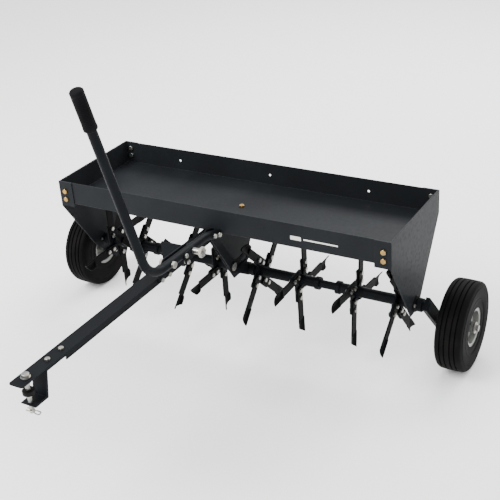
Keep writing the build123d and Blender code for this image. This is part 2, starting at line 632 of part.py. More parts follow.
with BuildPart() as cam_plate_bolts:
    for y, z in CAM_BOLTS:
        with Locations(facing(HANDLE_X + HANDLE_R, y, z, (1, 0, 0))):
            add(hex_bolt(ARM_BOLT_R, HANDLE_TUBE_DIAMETER + CAM_SHEET, 13.0, 5.0))
cam_plate_bolts.part.label = "cam_plate_bolts"
export_step(cam_plate_bolts.part, "parts/cam_plate_bolts.step")

LEVER_HUB_R = 21.0
LEVER_EYE_R = 17.0
LEVER_HUB = 16.0
with BuildPart() as crank_lever:
    with BuildSketch(side_plane(LEVER_X)) as lever_side:
        with Locations((0, AXLE_Z)):
            Circle(LEVER_HUB_R)
        with Locations(polar(0, AXLE_Z, LEVER_REACH, LEVER_ANGLE)):
            Circle(LEVER_EYE_R)
        make_hull()
        with Locations((0, AXLE_Z)):
            Circle(SHAFT_R + WELD_GAP, mode=Mode.SUBTRACT)
        with Locations(polar(0, AXLE_Z, LEVER_REACH, LEVER_ANGLE)):
            Circle(CRANK_PIN_R + WELD_GAP, mode=Mode.SUBTRACT)
    extrude(amount=LEVER)
    with BuildSketch(side_plane(LEVER_X)):
        with Locations((0, AXLE_Z)):
            Circle(LEVER_HUB_R)
            Circle(SHAFT_R + WELD_GAP, mode=Mode.SUBTRACT)
    extrude(amount=LEVER - LEVER_HUB)
crank_lever.part.label = "crank_lever"
export_step(crank_lever.part, "parts/crank_lever.step")

with BuildPart() as crank_pin:
    with BuildSketch(side_plane(LEVER_X)):
        with Locations(polar(0, AXLE_Z, LEVER_REACH, LEVER_ANGLE)):
            Circle(CRANK_PIN_R)
    extrude(amount=LEVER + CAM_SHEET + 2 * BODY_GAP)
    with BuildSketch(side_plane(CAM_X + CAM_SHEET + BODY_GAP)):
        with Locations(polar(0, AXLE_Z, LEVER_REACH, LEVER_ANGLE)):
            Circle(CRANK_PIN_R + 5.0)
    extrude(amount=4.0)
crank_pin.part.label = "crank_pin"
export_step(crank_pin.part, "parts/crank_pin.step")

# ---- pivot bracket with the latch's arc slot ----------------------------------------
SWING = LIFT_RATIO * LIFT_TRAVEL
BRACKET_EDGE = 13.0
latch_low = turned(LATCH, PIVOT, -SWING)
with BuildPart() as handle_bracket:
    with BuildSketch(side_plane(BRACKET_X)) as bracket_side:
        with Locations(PIVOT, LATCH, latch_low):
            Circle(BRACKET_EDGE)
        with Locations((-413.0, DRAWBAR_TOP - DRAWBAR_DEPTH / 2 + 2)):
            Rectangle(146.0, DRAWBAR_DEPTH - 4)
        make_hull()
        with Locations(PIVOT):
            Circle(PIVOT_BOLT_R + WELD_GAP, mode=Mode.SUBTRACT)
        track = [turned(LATCH, PIVOT, -SWING * step / CAM_STEPS) for step in range(CAM_STEPS + 1)]
        for strip in thick_line(track, 2 * (LATCH_PIN_R + BODY_GAP)):
            add(strip, mode=Mode.SUBTRACT)
        with Locations(*[(y, FLANGE_BOLT_Z) for y in BRACKET_BOLT_YS]):
            Circle(BRACKET_BOLT_R + BOLT_GAP, mode=Mode.SUBTRACT)
    extrude(amount=BRACKET_SHEET)
handle_bracket.part.label = "handle_bracket"
export_step(handle_bracket.part, "parts/handle_bracket.step")

with BuildPart() as handle_bracket_bolts:
    for y in BRACKET_BOLT_YS:
        grip = DRAWBAR_SHEET + BRACKET_SHEET
        with Locations(facing(BRACKET_RIGHT, y, FLANGE_BOLT_Z, (1, 0, 0))):
            add(hex_bolt(BRACKET_BOLT_R, grip + 8.0, 13.0, 5.0))
        with Locations(facing(DRAWBAR_RIGHT - DRAWBAR_SHEET, y, FLANGE_BOLT_Z, (-1, 0, 0))):
            add(hex_nut(BRACKET_BOLT_R + NUT_GAP, 13.0, 6.0))
handle_bracket_bolts.part.label = "handle_bracket_bolts"
export_step(handle_bracket_bolts.part, "parts/handle_bracket_bolts.step")

with BuildPart() as handle_pivot_bolt:
    head_x = HANDLE_X + HANDLE_R + BODY_GAP
    with Locations(facing(head_x, PIVOT[0], PIVOT[1], (1, 0, 0))):
        add(hex_bolt(PIVOT_BOLT_R, head_x - BRACKET_X + 11.0, 19.0, 7.5))
    with Locations(facing(BRACKET_X, PIVOT[0], PIVOT[1], (-1, 0, 0))):
        add(hex_nut(PIVOT_BOLT_R + NUT_GAP, 19.0, 9.0))
handle_pivot_bolt.part.label = "handle_pivot_bolt"
export_step(handle_pivot_bolt.part, "parts/handle_pivot_bolt.step")

# ---- spring latch on the arm --------------------------------------------------------
STRAP_SHEET = 3.0
STRAP_X = HANDLE_X + HANDLE_R
HOUSING_R = 9.0
HOUSING_WALL = 1.8
HOUSING_LENGTH = 24.0
PULL_R = 14.0
LATCH_TRAVEL = 9.0
LATCH_SHOULDER = 2.0
HOUSING_CAP = 2.5
PULL_SHEET = 9.0
PIN_END = 3.0
with BuildPart() as latch_bracket:
    with BuildSketch(side_plane(STRAP_X)):
        with Locations(LATCH):
            Circle(HOUSING_R + 4)
        with Locations(*STRAP_BOLTS):
            Circle(9.0)
        make_hull()
        with Locations(LATCH):
            Circle(LATCH_PIN_R + BODY_GAP, mode=Mode.SUBTRACT)
        with Locations(*STRAP_BOLTS):
            Circle(ARM_BOLT_R + BOLT_GAP, mode=Mode.SUBTRACT)
    extrude(amount=STRAP_SHEET)
latch_bracket.part.label = "latch_bracket"
export_step(latch_bracket.part, "parts/latch_bracket.step")

with BuildPart() as latch_bracket_bolts:
    for (y, z), shank in zip(STRAP_BOLTS, (STRAP_SHEET + HANDLE_WALL + 4.0, STRAP_SHEET + 8.0)):
        with Locations(facing(STRAP_X + STRAP_SHEET, y, z, (1, 0, 0))):
            add(hex_bolt(ARM_BOLT_R, shank, 13.0, 5.0))
    with Locations(facing(STRAP_X, STRAP_BOLTS[1][0], STRAP_BOLTS[1][1], (-1, 0, 0))):
        add(hex_nut(ARM_BOLT_R + NUT_GAP, 13.0, 6.0))
latch_bracket_bolts.part.label = "latch_bracket_bolts"
export_step(latch_bracket_bolts.part, "parts/latch_bracket_bolts.step")

housing_x = STRAP_X + STRAP_SHEET
with BuildPart() as latch_housing:
    with BuildSketch(side_plane(housing_x)):
        with Locations(LATCH):
            Circle(HOUSING_R)
            Circle(HOUSING_R - HOUSING_WALL, mode=Mode.SUBTRACT)
    extrude(amount=HOUSING_LENGTH)
    with BuildSketch(side_plane(housing_x + HOUSING_LENGTH - HOUSING_CAP)):
        with Locations(LATCH):
            Circle(HOUSING_R - HOUSING_WALL)
            Circle(LATCH_PIN_R + RUN_GAP, mode=Mode.SUBTRACT)
    extrude(amount=HOUSING_CAP)
latch_housing.part.label = "latch_housing"
export_step(latch_housing.part, "parts/latch_housing.step")

pull_x = housing_x + HOUSING_LENGTH + BODY_GAP
shoulder_x = housing_x + SIDE_GAP
with BuildPart() as latch_pin:
    with BuildSketch(side_plane(BRACKET_X + BODY_GAP)):
        with Locations(LATCH):
            Circle(LATCH_PIN_R)
    extrude(amount=pull_x + PULL_SHEET + PIN_END - BRACKET_X - BODY_GAP)
    with BuildSketch(side_plane(shoulder_x)):
        with Locations(LATCH):
            Circle(HOUSING_R - HOUSING_WALL - BODY_GAP)
    extrude(amount=LATCH_SHOULDER)
    with BuildSketch(side_plane(pull_x)):
        with Locations(LATCH):
            RegularPolygon(PULL_R, 6, major_radius=False)
    extrude(amount=PULL_SHEET)
latch_pin.part.label = "latch_pin"
export_step(latch_pin.part, "parts/latch_pin.step")

SPRING_WIRE_R = 0.7
SPRING_TURNS = 4
# The coil is drawn at the length it has when the latch is pulled right out.
spring_x = shoulder_x + LATCH_SHOULDER + LATCH_TRAVEL + SPRING_WIRE_R + BODY_GAP / 2
spring_end = housing_x + HOUSING_LENGTH - HOUSING_CAP - SPRING_WIRE_R - BODY_GAP / 2
spring_length = spring_end - spring_x
spring_r = LATCH_PIN_R + SPRING_WIRE_R + BODY_GAP / 2
with BuildPart() as latch_spring:
    with BuildLine() as coil:
        spring_start = (spring_x, TRAY_Y + LATCH[0], LATCH[1])
        Helix(spring_length / SPRING_TURNS, spring_length, spring_r, spring_start, (1, 0, 0))
    with BuildSketch(Plane(origin=coil.line @ 0, z_dir=coil.line % 0)):
        Circle(SPRING_WIRE_R)
    sweep(is_frenet=True)
latch_spring.part.label = "latch_spring"
export_step(latch_spring.part, "parts/latch_spring.step")

# ---- plain bracket on the drawbar's left side ---------------------------------------
SIDE_BRACKET_REACH = 76.0
SIDE_BRACKET_HEIGHT = 69.0
SIDE_BRACKET_LEG = 52.0
with BuildPart() as side_bracket:
    with BuildSketch(front_plane(SIDE_BRACKET_Y)) as bracket_face:
        with Locations((DRAWBAR_LEFT - SIDE_BRACKET_REACH / 2, DRAWBAR_TOP - SIDE_BRACKET_HEIGHT / 2)):
            Rectangle(SIDE_BRACKET_REACH, SIDE_BRACKET_HEIGHT)
        fillet(bracket_face.vertices().group_by(Axis.X)[0], 4.0)
    extrude(amount=-SIDE_BRACKET_SHEET)
    with BuildSketch(side_plane(DRAWBAR_LEFT)):
        leg_y = SIDE_BRACKET_Y + SIDE_BRACKET_LEG / 2
        with Locations((leg_y, DRAWBAR_TOP - DRAWBAR_DEPTH / 2)):
            Rectangle(SIDE_BRACKET_LEG, DRAWBAR_DEPTH)
        with Locations(*[(y, FLANGE_BOLT_Z) for y in SIDE_BRACKET_BOLT_YS]):
            Circle(BRACKET_BOLT_R + BOLT_GAP, mode=Mode.SUBTRACT)
    extrude(amount=-SIDE_BRACKET_SHEET)
side_bracket.part.label = "side_bracket"
export_step(side_bracket.part, "parts/side_bracket.step")

# ---- transport shaft, crank arms, spindles ------------------------------------------
CRANK_ARM = 12.0
CRANK_ARM_WIDTH = 41.0
CRANK_ARM_END = 23.0
HUB_WIDTH = 76.0
HUB_SPACER = 2.0
SPACER_TUBE = 30.0
HUB_INNER = WHEEL_X - HUB_WIDTH / 2
CRANK_INNER = HUB_INNER - SPACER_TUBE - HUB_SPACER - CRANK_ARM
SPINDLE_END = WHEEL_X + HUB_WIDTH / 2 + 14.0
WHEEL_CENTRE = (WHEEL_BACK, TYRE_R)

with BuildPart() as axle_shaft:
    with BuildSketch(side_plane(-CRANK_INNER - CRANK_ARM - 2)):
        with Locations((0, AXLE_Z)):
            Circle(SHAFT_R)
    extrude(amount=2 * (CRANK_INNER + CRANK_ARM + 2))
axle_shaft.part.label = "axle_shaft"
export_step(axle_shaft.part, "parts/axle_shaft.step")

for name, side in (("left_crank_arm", -1), ("right_crank_arm", 1)):
    with BuildPart() as crank_arm:
        with BuildSketch(side_plane(side * CRANK_INNER)):
            with Locations(Location((WHEEL_BACK / 2, (AXLE_Z + TYRE_R) / 2), -CRANK_DROP_ANGLE)):
                Rectangle(CRANK_REACH + 2 * CRANK_ARM_END, CRANK_ARM_WIDTH)
            with Locations((0, AXLE_Z)):
                Circle(SHAFT_R + WELD_GAP, mode=Mode.SUBTRACT)
            with Locations(WHEEL_CENTRE):
                Circle(SPINDLE_R + WELD_GAP, mode=Mode.SUBTRACT)
        extrude(amount=side * CRANK_ARM)
    crank_arm.part.label = name
    export_step(crank_arm.part, f"parts/{name}.step")

COTTER_R = 1.8
COTTER_X = SPINDLE_END - 6.0
with BuildPart() as wheel_spindles:
    for side in (-1, 1):
        with BuildSketch(side_plane(side * (CRANK_INNER - 2))):
            with Locations(WHEEL_CENTRE):
                Circle(SPINDLE_R)
        extrude(amount=side * (SPINDLE_END - CRANK_INNER + 2))
        with BuildSketch(level_plane(TYRE_R - SPINDLE_R - 1)):
            with Locations((side * COTTER_X, WHEEL_BACK)):
                Circle(COTTER_R + NUT_GAP)
        extrude(amount=2 * SPINDLE_R + 2, mode=Mode.SUBTRACT)
wheel_spindles.part.label = "wheel_spindles"
export_step(wheel_spindles.part, "parts/wheel_spindles.step")

with BuildPart() as wheel_retainers:
    for side in (-1, 1):
        way = (side, 0, 0)
        with Locations(facing(side * (CRANK_INNER + CRANK_ARM), WHEEL_BACK, TYRE_R, way)):
            add(washer(SPINDLE_R + NUT_GAP, SPINDLE_R + 3.5, SPACER_TUBE))
        with Locations(facing(side * (WHEEL_X + HUB_WIDTH / 2 + HUB_SPACER), WHEEL_BACK, TYRE_R, way)):
            add(washer(SPINDLE_R + NUT_GAP, 18.0, 2.5))
        with Locations(facing(side * COTTER_X, WHEEL_BACK, TYRE_R - SPINDLE_R - 6, (0, 0, 1))):
            Cylinder(COTTER_R, 2 * SPINDLE_R + 14, align=(Align.CENTER, Align.CENTER, Align.MIN))
wheel_retainers.part.label = "wheel_retainers"
export_step(wheel_retainers.part, "parts/wheel_retainers.step")

# ---- wheels -------------------------------------------------------------------------
RIM_R = RIM_DIAMETER / 2
RIM_SHEET = 2.6
RIM_HALF = TYRE_WIDTH / 2 - 5.0
HUB_BORE_R = SPINDLE_R + 4.5
HUB_R = HUB_BORE_R + 3.0
BEAD_R = RIM_R - 12.5
TREAD_GROOVE = 5.0
TREAD_GROOVES = (-26.0, -9.0, 9.0, 26.0)
TYRE_WALL = 9.0
SHOULDER = TYRE_WIDTH / 2
# Half profiles as (distance from the wheel's middle, radius), from the middle outwards or back.
RIM_TYRE_SIDE = [
    (0, BEAD_R - 8.5),
    (10, BEAD_R - 8.5),
    (16, BEAD_R - 2.5),
    (RIM_HALF - 5, BEAD_R),
    (RIM_HALF - RIM_SHEET, RIM_R),
]
RIM_HUB_SIDE = [
    (RIM_HALF, RIM_R),
    (RIM_HALF - 2.8, BEAD_R - 2.5),
    (17.2, BEAD_R - 5.1),
    (11.2, BEAD_R - 11.1),
    (RIM_SHEET, BEAD_R - 11.1),
    (RIM_SHEET, HUB_R),
    (0, HUB_R),
]
TYRE_OUTSIDE = [
    (0, TYRE_R),
    (SHOULDER - 13, TYRE_R - 0.8),
    (SHOULDER - 5.5, TYRE_R - 4),
    (SHOULDER - 1, TYRE_R - 12),
    (SHOULDER, TYRE_R - 28),
    (SHOULDER - 1.5, TYRE_R - 50),
    (SHOULDER - 4.5, RIM_R + 6),
    (RIM_HALF - RIM_SHEET - BODY_GAP, RIM_R + 1),
    (RIM_HALF - 5 - BODY_GAP, BEAD_R + BODY_GAP),
]
TYRE_INSIDE = [
    (RIM_HALF - 13.5, BEAD_R + BODY_GAP - 1),
    (RIM_HALF - 11, RIM_R - 2),
    (SHOULDER - TYRE_WALL - 1, RIM_R + 14),
    (SHOULDER - TYRE_WALL, TYRE_R - 35),
    (SHOULDER - TYRE_WALL - 1, TYRE_R - 16),
    (SHOULDER - 15, TYRE_R - 10),
    (0, TYRE_R - 9),
]


def wheel_plane(x):
    """A plane through a wheel's centre, where a sketch has X and the radius."""
    return Plane(origin=(x, TRAY_Y + WHEEL_BACK, TYRE_R), x_dir=(1, 0, 0), z_dir=(0, -1, 0))


def mirrored(points):
    """The same points with x reversed, in the opposite order."""
    return [(-x, r) for x, r in reversed(points) if x > 0]


for side_name, side in (("left", -1), ("right", 1)):
    x = side * WHEEL_X
    spin_axis = Axis((x, TRAY_Y + WHEEL_BACK, TYRE_R), (1, 0, 0))
    with BuildPart() as tyre:
        with BuildSketch(wheel_plane(x)):
            with BuildLine():
                tyre_outline = mirrored(TYRE_OUTSIDE) + TYRE_OUTSIDE + TYRE_INSIDE + mirrored(TYRE_INSIDE)
                Polyline(*tyre_outline, close=True)
            make_face()
            with Locations(*[(groove, TYRE_R) for groove in TREAD_GROOVES]):
                Rectangle(4.0, 2 * TREAD_GROOVE, mode=Mode.SUBTRACT)
        revolve(axis=spin_axis)
    tyre.part.label = f"{side_name}_tyre"
    export_step(tyre.part, f"parts/{side_name}_tyre.step")

    with BuildPart() as rim:
        with BuildSketch(wheel_plane(x)):
            with BuildLine():
                rim_half = RIM_TYRE_SIDE + RIM_HUB_SIDE[:-1]
                Polyline(*rim_half, *mirrored(RIM_HUB_SIDE), *mirrored(RIM_TYRE_SIDE), close=True)
            make_face()
            with Locations((0, (HUB_R + HUB_BORE_R) / 2)):
                Rectangle(HUB_WIDTH, HUB_R - HUB_BORE_R)
        revolve(axis=spin_axis)
    rim.part.label = f"{side_name}_rim"
    export_step(rim.part, f"parts/{side_name}_rim.step")

    with BuildPart() as wheel_bushes:
        for end in (-1, 1):
            with BuildSketch(side_plane(x + end * HUB_WIDTH / 2)):
                with Locations(WHEEL_CENTRE):
                    Circle(HUB_R)
                    Circle(SPINDLE_R + RUN_GAP, mode=Mode.SUBTRACT)
            extrude(amount=end * (HUB_SPACER - BODY_GAP))
            with BuildSketch(side_plane(x + end * HUB_WIDTH / 2)):
                with Locations(WHEEL_CENTRE):
                    Circle(HUB_BORE_R - WELD_GAP)
                    Circle(SPINDLE_R + RUN_GAP, mode=Mode.SUBTRACT)
            extrude(amount=-end * 18.0)
    wheel_bushes.part.label = f"{side_name}_wheel_bushes"
    export_step(wheel_bushes.part, f"parts/{side_name}_wheel_bushes.step")

# ---- tine reels ---------------------------------------------------------------------
SLEEVE_R = SHAFT_R + RUN_GAP + SLEEVE_WALL
REEL_GAP = 86.0
REEL_END_MARGIN = 29.0
REEL_RIGHT_START = 34.0
REEL_LEFT_START = -84.0
STAR_PLAIN_INSET = 21.0
STAR_GAP_INSET = 51.0
STAR_SHEET = 5.0
STAR_REACH = 66.0
STAR_HUB_R = 34.0
TINE_START = 17.0
TINE_BOLTS = (27.0, 54.0)
TINE_BOLT_R = 4.0
SPOON_LENGTH = 58.0
SPOON_R = 20.5
SPOON_DEPTH = 10.0
SPOON_SINK = 3.0
SPOON_WALL = 3.5
SPOON_EASE = 14.0
SPOON_CUT = 31.0
SPOON_HALF_WIDTH = math.sqrt(SPOON_R**2 - (SPOON_R - SPOON_DEPTH) ** 2)
COLLAR_WIDTH = 14.0
COLLAR_OUTER_R = SHAFT_R + 8.0


def reel_spans():
    """Start and end x of each reel's sleeve, from the left end plate to the right one."""
    left_room = HALF - REEL_END_MARGIN + REEL_LEFT_START
    right_room = HALF - REEL_END_MARGIN - REEL_RIGHT_START
    left = (left_room - REEL_GAP) / 2
    right = (right_room - REEL_GAP) / 2
    return [
        (-HALF + REEL_END_MARGIN, -HALF + REEL_END_MARGIN + left),
        (REEL_LEFT_START - left, REEL_LEFT_START),
        (REEL_RIGHT_START, REEL_RIGHT_START + right),
        (HALF - REEL_END_MARGIN - right, HALF - REEL_END_MARGIN),
    ]


REEL_SPANS = reel_spans()
# Each reel: name, its span, whether its gap side is the right one, the stars' turn, the spoons' side.
REELS = (
    ("outer_left_reel", REEL_SPANS[0], True, 0.0, 45.0, 1),
    ("inner_left_reel", REEL_SPANS[1], False, 44.0, -1.0, 1),
    ("inner_right_reel", REEL_SPANS[2], True, 46.0, 1.0, -1),
    ("outer_right_reel", REEL_SPANS[3], False, -5.0, 40.0, -1),
)


def tine_plane(x, angle):
    """A plane across X at the shaft's centre, whose first axis points out along one tine."""
    turn = math.radians(angle)
    return Plane(origin=(x, TRAY_Y, AXLE_Z), x_dir=(0, math.cos(turn), math.sin(turn)), z_dir=(1, 0, 0))


for name, (start_x, end_x), gap_on_right, turn_a, turn_b, hand in REELS:
    if gap_on_right:
        star_xs = (start_x + STAR_PLAIN_INSET, end_x - STAR_GAP_INSET)
    else:
        star_xs = (start_x + STAR_GAP_INSET, end_x - STAR_PLAIN_INSET)
    stars = list(zip(star_xs, (turn_a, turn_b)))
    spots = [(x, turn + 90 * quarter) for x, turn in stars for quarter in range(4)]
    lobe_v = hand * TINE_OFFSET
    spoon_v = hand * (TINE_OFFSET - TINE_WIDTH / 2 + SPOON_HALF_WIDTH)
    inner_v = hand * (TINE_OFFSET - TINE_WIDTH / 2 - 1)
    edge_v = hand * (TINE_OFFSET + TINE_WIDTH / 2 + 0.5)
    outer_v = hand * (TINE_OFFSET - TINE_WIDTH / 2 + 2 * SPOON_HALF_WIDTH + 1)

    with BuildPart() as sleeve:
        with BuildSketch(side_plane(start_x)):
            with Locations((0, AXLE_Z)):
                Circle(SLEEVE_R)
                Circle(SHAFT_R + RUN_GAP, mode=Mode.SUBTRACT)
        extrude(amount=end_x - start_x)
    sleeve.part.label = f"{name}_sleeve"
    export_step(sleeve.part, f"parts/{name}_sleeve.step")

    with BuildPart() as star_plates:
        for x, turn in stars:
            with BuildSketch(side_plane(x - STAR_SHEET)):
                with Locations((0, AXLE_Z)):
                    Circle(STAR_HUB_R)
                    with PolarLocations(0, 4, turn):
                        with Locations((STAR_REACH / 2, lobe_v)):
                            RectangleRounded(STAR_REACH, TINE_WIDTH + 6, 6.0)
                        with Locations(*[(reach, lobe_v) for reach in TINE_BOLTS]):
                            Circle(TINE_BOLT_R + BOLT_GAP, mode=Mode.SUBTRACT)
                    Circle(SLEEVE_R + WELD_GAP, mode=Mode.SUBTRACT)
            extrude(amount=STAR_SHEET)
    star_plates.part.label = f"{name}_star_plates"
    export_step(star_plates.part, f"parts/{name}_star_plates.step")

    with BuildPart() as tines:
        for x, angle in spots:
            blade = tine_plane(x, angle)
            blade_end = TINE_REACH - SPOON_LENGTH + 4
            with BuildSketch(blade):
                with Locations(((TINE_START + blade_end) / 2, lobe_v)):
                    Rectangle(blade_end - TINE_START, TINE_WIDTH)
                with Locations(*[(reach, lobe_v) for reach in TINE_BOLTS]):
                    Circle(TINE_BOLT_R + BOLT_GAP, mode=Mode.SUBTRACT)
            extrude(amount=TINE_THICKNESS)
            spoon_start = TINE_REACH - SPOON_LENGTH
            spoon_base = blade.from_local_coords((spoon_start, spoon_v, SPOON_R - SPOON_SINK))
            with BuildSketch(Plane(origin=spoon_base, x_dir=(1, 0, 0), z_dir=blade.x_dir)):
                Circle(SPOON_R)
                Circle(SPOON_R - SPOON_WALL, mode=Mode.SUBTRACT)
                with Locations((SPOON_DEPTH, 0)):
                    Rectangle(2 * SPOON_R, 2 * SPOON_R + 2, mode=Mode.SUBTRACT)
            extrude(amount=SPOON_LENGTH)
            with BuildSketch(tine_plane(x - 2 * SPOON_SINK, angle)):
                with BuildLine():
                    beyond = TINE_REACH + 1
                    Polyline((beyond, inner_v), (beyond, outer_v), (beyond - SPOON_CUT, outer_v), close=True)
                make_face()
                with BuildLine():
                    before = spoon_start - 1
                    Polyline((before, edge_v), (before, outer_v), (before + SPOON_EASE, outer_v), close=True)
                make_face()
            extrude(amount=2 * SPOON_DEPTH, mode=Mode.SUBTRACT)
    tines.part.label = f"{name}_tines"
    export_step(tines.part, f"parts/{name}_tines.step")

    with BuildPart() as tine_bolts:
        for x, angle in spots:
            for reach in TINE_BOLTS:
                centre = tine_plane(x, angle).from_local_coords((reach, lobe_v, 0))
                grip = STAR_SHEET + TINE_THICKNESS
                with Locations(Plane(origin=centre + Vector(TINE_THICKNESS, 0, 0), z_dir=(1, 0, 0))):
                    add(hex_bolt(TINE_BOLT_R, grip + 8.0, 13.0, 5.0))
                with Locations(Plane(origin=centre - Vector(STAR_SHEET, 0, 0), z_dir=(-1, 0, 0))):
                    add(hex_nut(TINE_BOLT_R + NUT_GAP, 13.0, 6.0))
    tine_bolts.part.label = f"{name}_bolts"
    export_step(tine_bolts.part, f"parts/{name}_bolts.step")

# Collars on the bare shaft keep each reel in its place.
with BuildPart() as shaft_collars:
    outer_face = HALF + BUSH_FLANGE + BEARING_BOLT_HEAD + SIDE_GAP
    collar_faces = [(-outer_face, -1), (outer_face, 1)]
    for start_x, end_x in REEL_SPANS:
        collar_faces += [(start_x - SIDE_GAP, -1), (end_x + SIDE_GAP, 1)]
    for collar_x, way in collar_faces:
        with Locations(facing(collar_x, 0, AXLE_Z, (way, 0, 0))):
            add(washer(SHAFT_R + WELD_GAP, COLLAR_OUTER_R, COLLAR_WIDTH))
shaft_collars.part.label = "shaft_collars"
export_step(shaft_collars.part, "parts/shaft_collars.step")
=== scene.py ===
"""Looks of a tow-behind plug aerator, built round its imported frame."""
import json
import logging
import math
from dataclasses import dataclass
from enum import Enum
from typing import Callable, Iterable, Sequence

import bmesh
import bpy
from mathutils import Matrix, Vector


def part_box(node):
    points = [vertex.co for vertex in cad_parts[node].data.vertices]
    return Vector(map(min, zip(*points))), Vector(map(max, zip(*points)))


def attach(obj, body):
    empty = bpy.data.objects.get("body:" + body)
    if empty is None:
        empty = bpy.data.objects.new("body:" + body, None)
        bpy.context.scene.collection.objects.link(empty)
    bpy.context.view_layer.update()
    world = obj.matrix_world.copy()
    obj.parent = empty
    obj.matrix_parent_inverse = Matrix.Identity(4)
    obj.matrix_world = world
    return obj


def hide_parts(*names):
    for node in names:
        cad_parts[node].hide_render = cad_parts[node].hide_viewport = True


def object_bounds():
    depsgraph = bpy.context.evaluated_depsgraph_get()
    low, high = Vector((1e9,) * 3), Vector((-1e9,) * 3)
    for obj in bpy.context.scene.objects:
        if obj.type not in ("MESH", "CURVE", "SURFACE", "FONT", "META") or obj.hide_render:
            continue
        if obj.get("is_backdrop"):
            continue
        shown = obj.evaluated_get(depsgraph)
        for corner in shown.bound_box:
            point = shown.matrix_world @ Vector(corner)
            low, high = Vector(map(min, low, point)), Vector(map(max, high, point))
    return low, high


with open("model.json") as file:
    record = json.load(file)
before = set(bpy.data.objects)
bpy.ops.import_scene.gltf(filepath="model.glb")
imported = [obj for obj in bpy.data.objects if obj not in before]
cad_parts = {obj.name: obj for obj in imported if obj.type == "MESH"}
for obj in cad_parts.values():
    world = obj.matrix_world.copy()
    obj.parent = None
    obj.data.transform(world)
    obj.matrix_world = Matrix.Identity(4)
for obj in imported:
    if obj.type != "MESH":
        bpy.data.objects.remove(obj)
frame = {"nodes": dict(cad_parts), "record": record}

logging.basicConfig(level=logging.INFO, format="%(message)s")
LOG = logging.getLogger("aerator")

Colour = tuple[float, float, float]
Point = tuple[float, float, float]
TURN = 2 * math.pi
CIRCLE_STEPS = 64


class Body(str, Enum):
    """The frame's bodies that Blender's own pieces ride on."""

    FRAME = "frame"
    AXLE = "axle"
    HANDLE = "lift_handle"
    LEFT_WHEEL = "left_wheel"
    RIGHT_WHEEL = "right_wheel"


class Slot(str, Enum):
    """The record's material slots."""

    TRAY = "tray_black"
    FRAME = "frame_black"
    TINE = "tine_black"
    ZINC = "bright_zinc"
    YELLOW_ZINC = "yellow_zinc"
    NYLON = "nylon_black"
    GRIP = "grip_rubber"
    TYRE = "tyre_rubber"
    RIM = "rim_silver"


class Side(Enum):
    """Which side of the machine a piece is on, as the sign of its x."""

    LEFT = -1
    RIGHT = 1

    @property
    def word(self) -> str:
        """The side's name, as the nodes' names have it."""
        return self.name.lower()


# ---- shader maths -------------------------------------------------------------------


class Shade:
    """One output socket of a shader, with arithmetic that adds Math nodes."""

    def __init__(self, graph: "Graph", socket: bpy.types.NodeSocket) -> None:
        """Wraps a socket.

        Args:
            graph: the material's graph that the socket belongs to.
            socket: the output socket.
        """
        self.graph = graph
        self.socket = socket

    def _math(self, operation: str, first: object, second: object = 0.0) -> "Shade":
        """Adds one Math node and returns its result."""
        settings = {"operation": operation}
        return self.graph.add("ShaderNodeMath", settings, {0: first, 1: second})["Value"]

    def __add__(self, other: object) -> "Shade":
        """self + other."""
        return self._math("ADD", self, other)

    def __sub__(self, other: object) -> "Shade":
        """self - other."""
        return self._math("SUBTRACT", self, other)

    def __rsub__(self, other: object) -> "Shade":
        """other - self."""
        return self._math("SUBTRACT", other, self)

    def __mul__(self, other: object) -> "Shade":
        """self * other."""
        return self._math("MULTIPLY", self, other)

    def __pow__(self, other: object) -> "Shade":
        """self to the power of other."""
        return self._math("POWER", self, other)

    def __gt__(self, other: object) -> "Shade":
        """1 where self is over other, else 0."""
        return self._math("GREATER_THAN", self, other)

    __radd__ = __add__
    __rmul__ = __mul__

    def ramp(self, low: float, high: float) -> "Shade":
        """Maps low to 0 and high to 1, smoothly, and holds it there.

        Args:
            low: the value that gives 0.
            high: the value that gives 1.

        Returns:
            The mapped value.
        """
        sockets = {"Value": self, "From Min": low, "From Max": high}
        return self.graph.add("ShaderNodeMapRange", {"interpolation_type": "SMOOTHSTEP"}, sockets)["Result"]


class Outputs:
    """A node's outputs by name, each as a Shade."""

    def __init__(self, graph: "Graph", node: bpy.types.Node) -> None:
        """Keeps the node and its graph."""
        self.graph = graph
        self.node = node

    def __getitem__(self, name: str) -> Shade:
        """The enabled output socket of that name."""
        found = [s for s in self.node.outputs if s.name == name and s.enabled]
        return Shade(self.graph, found[0])


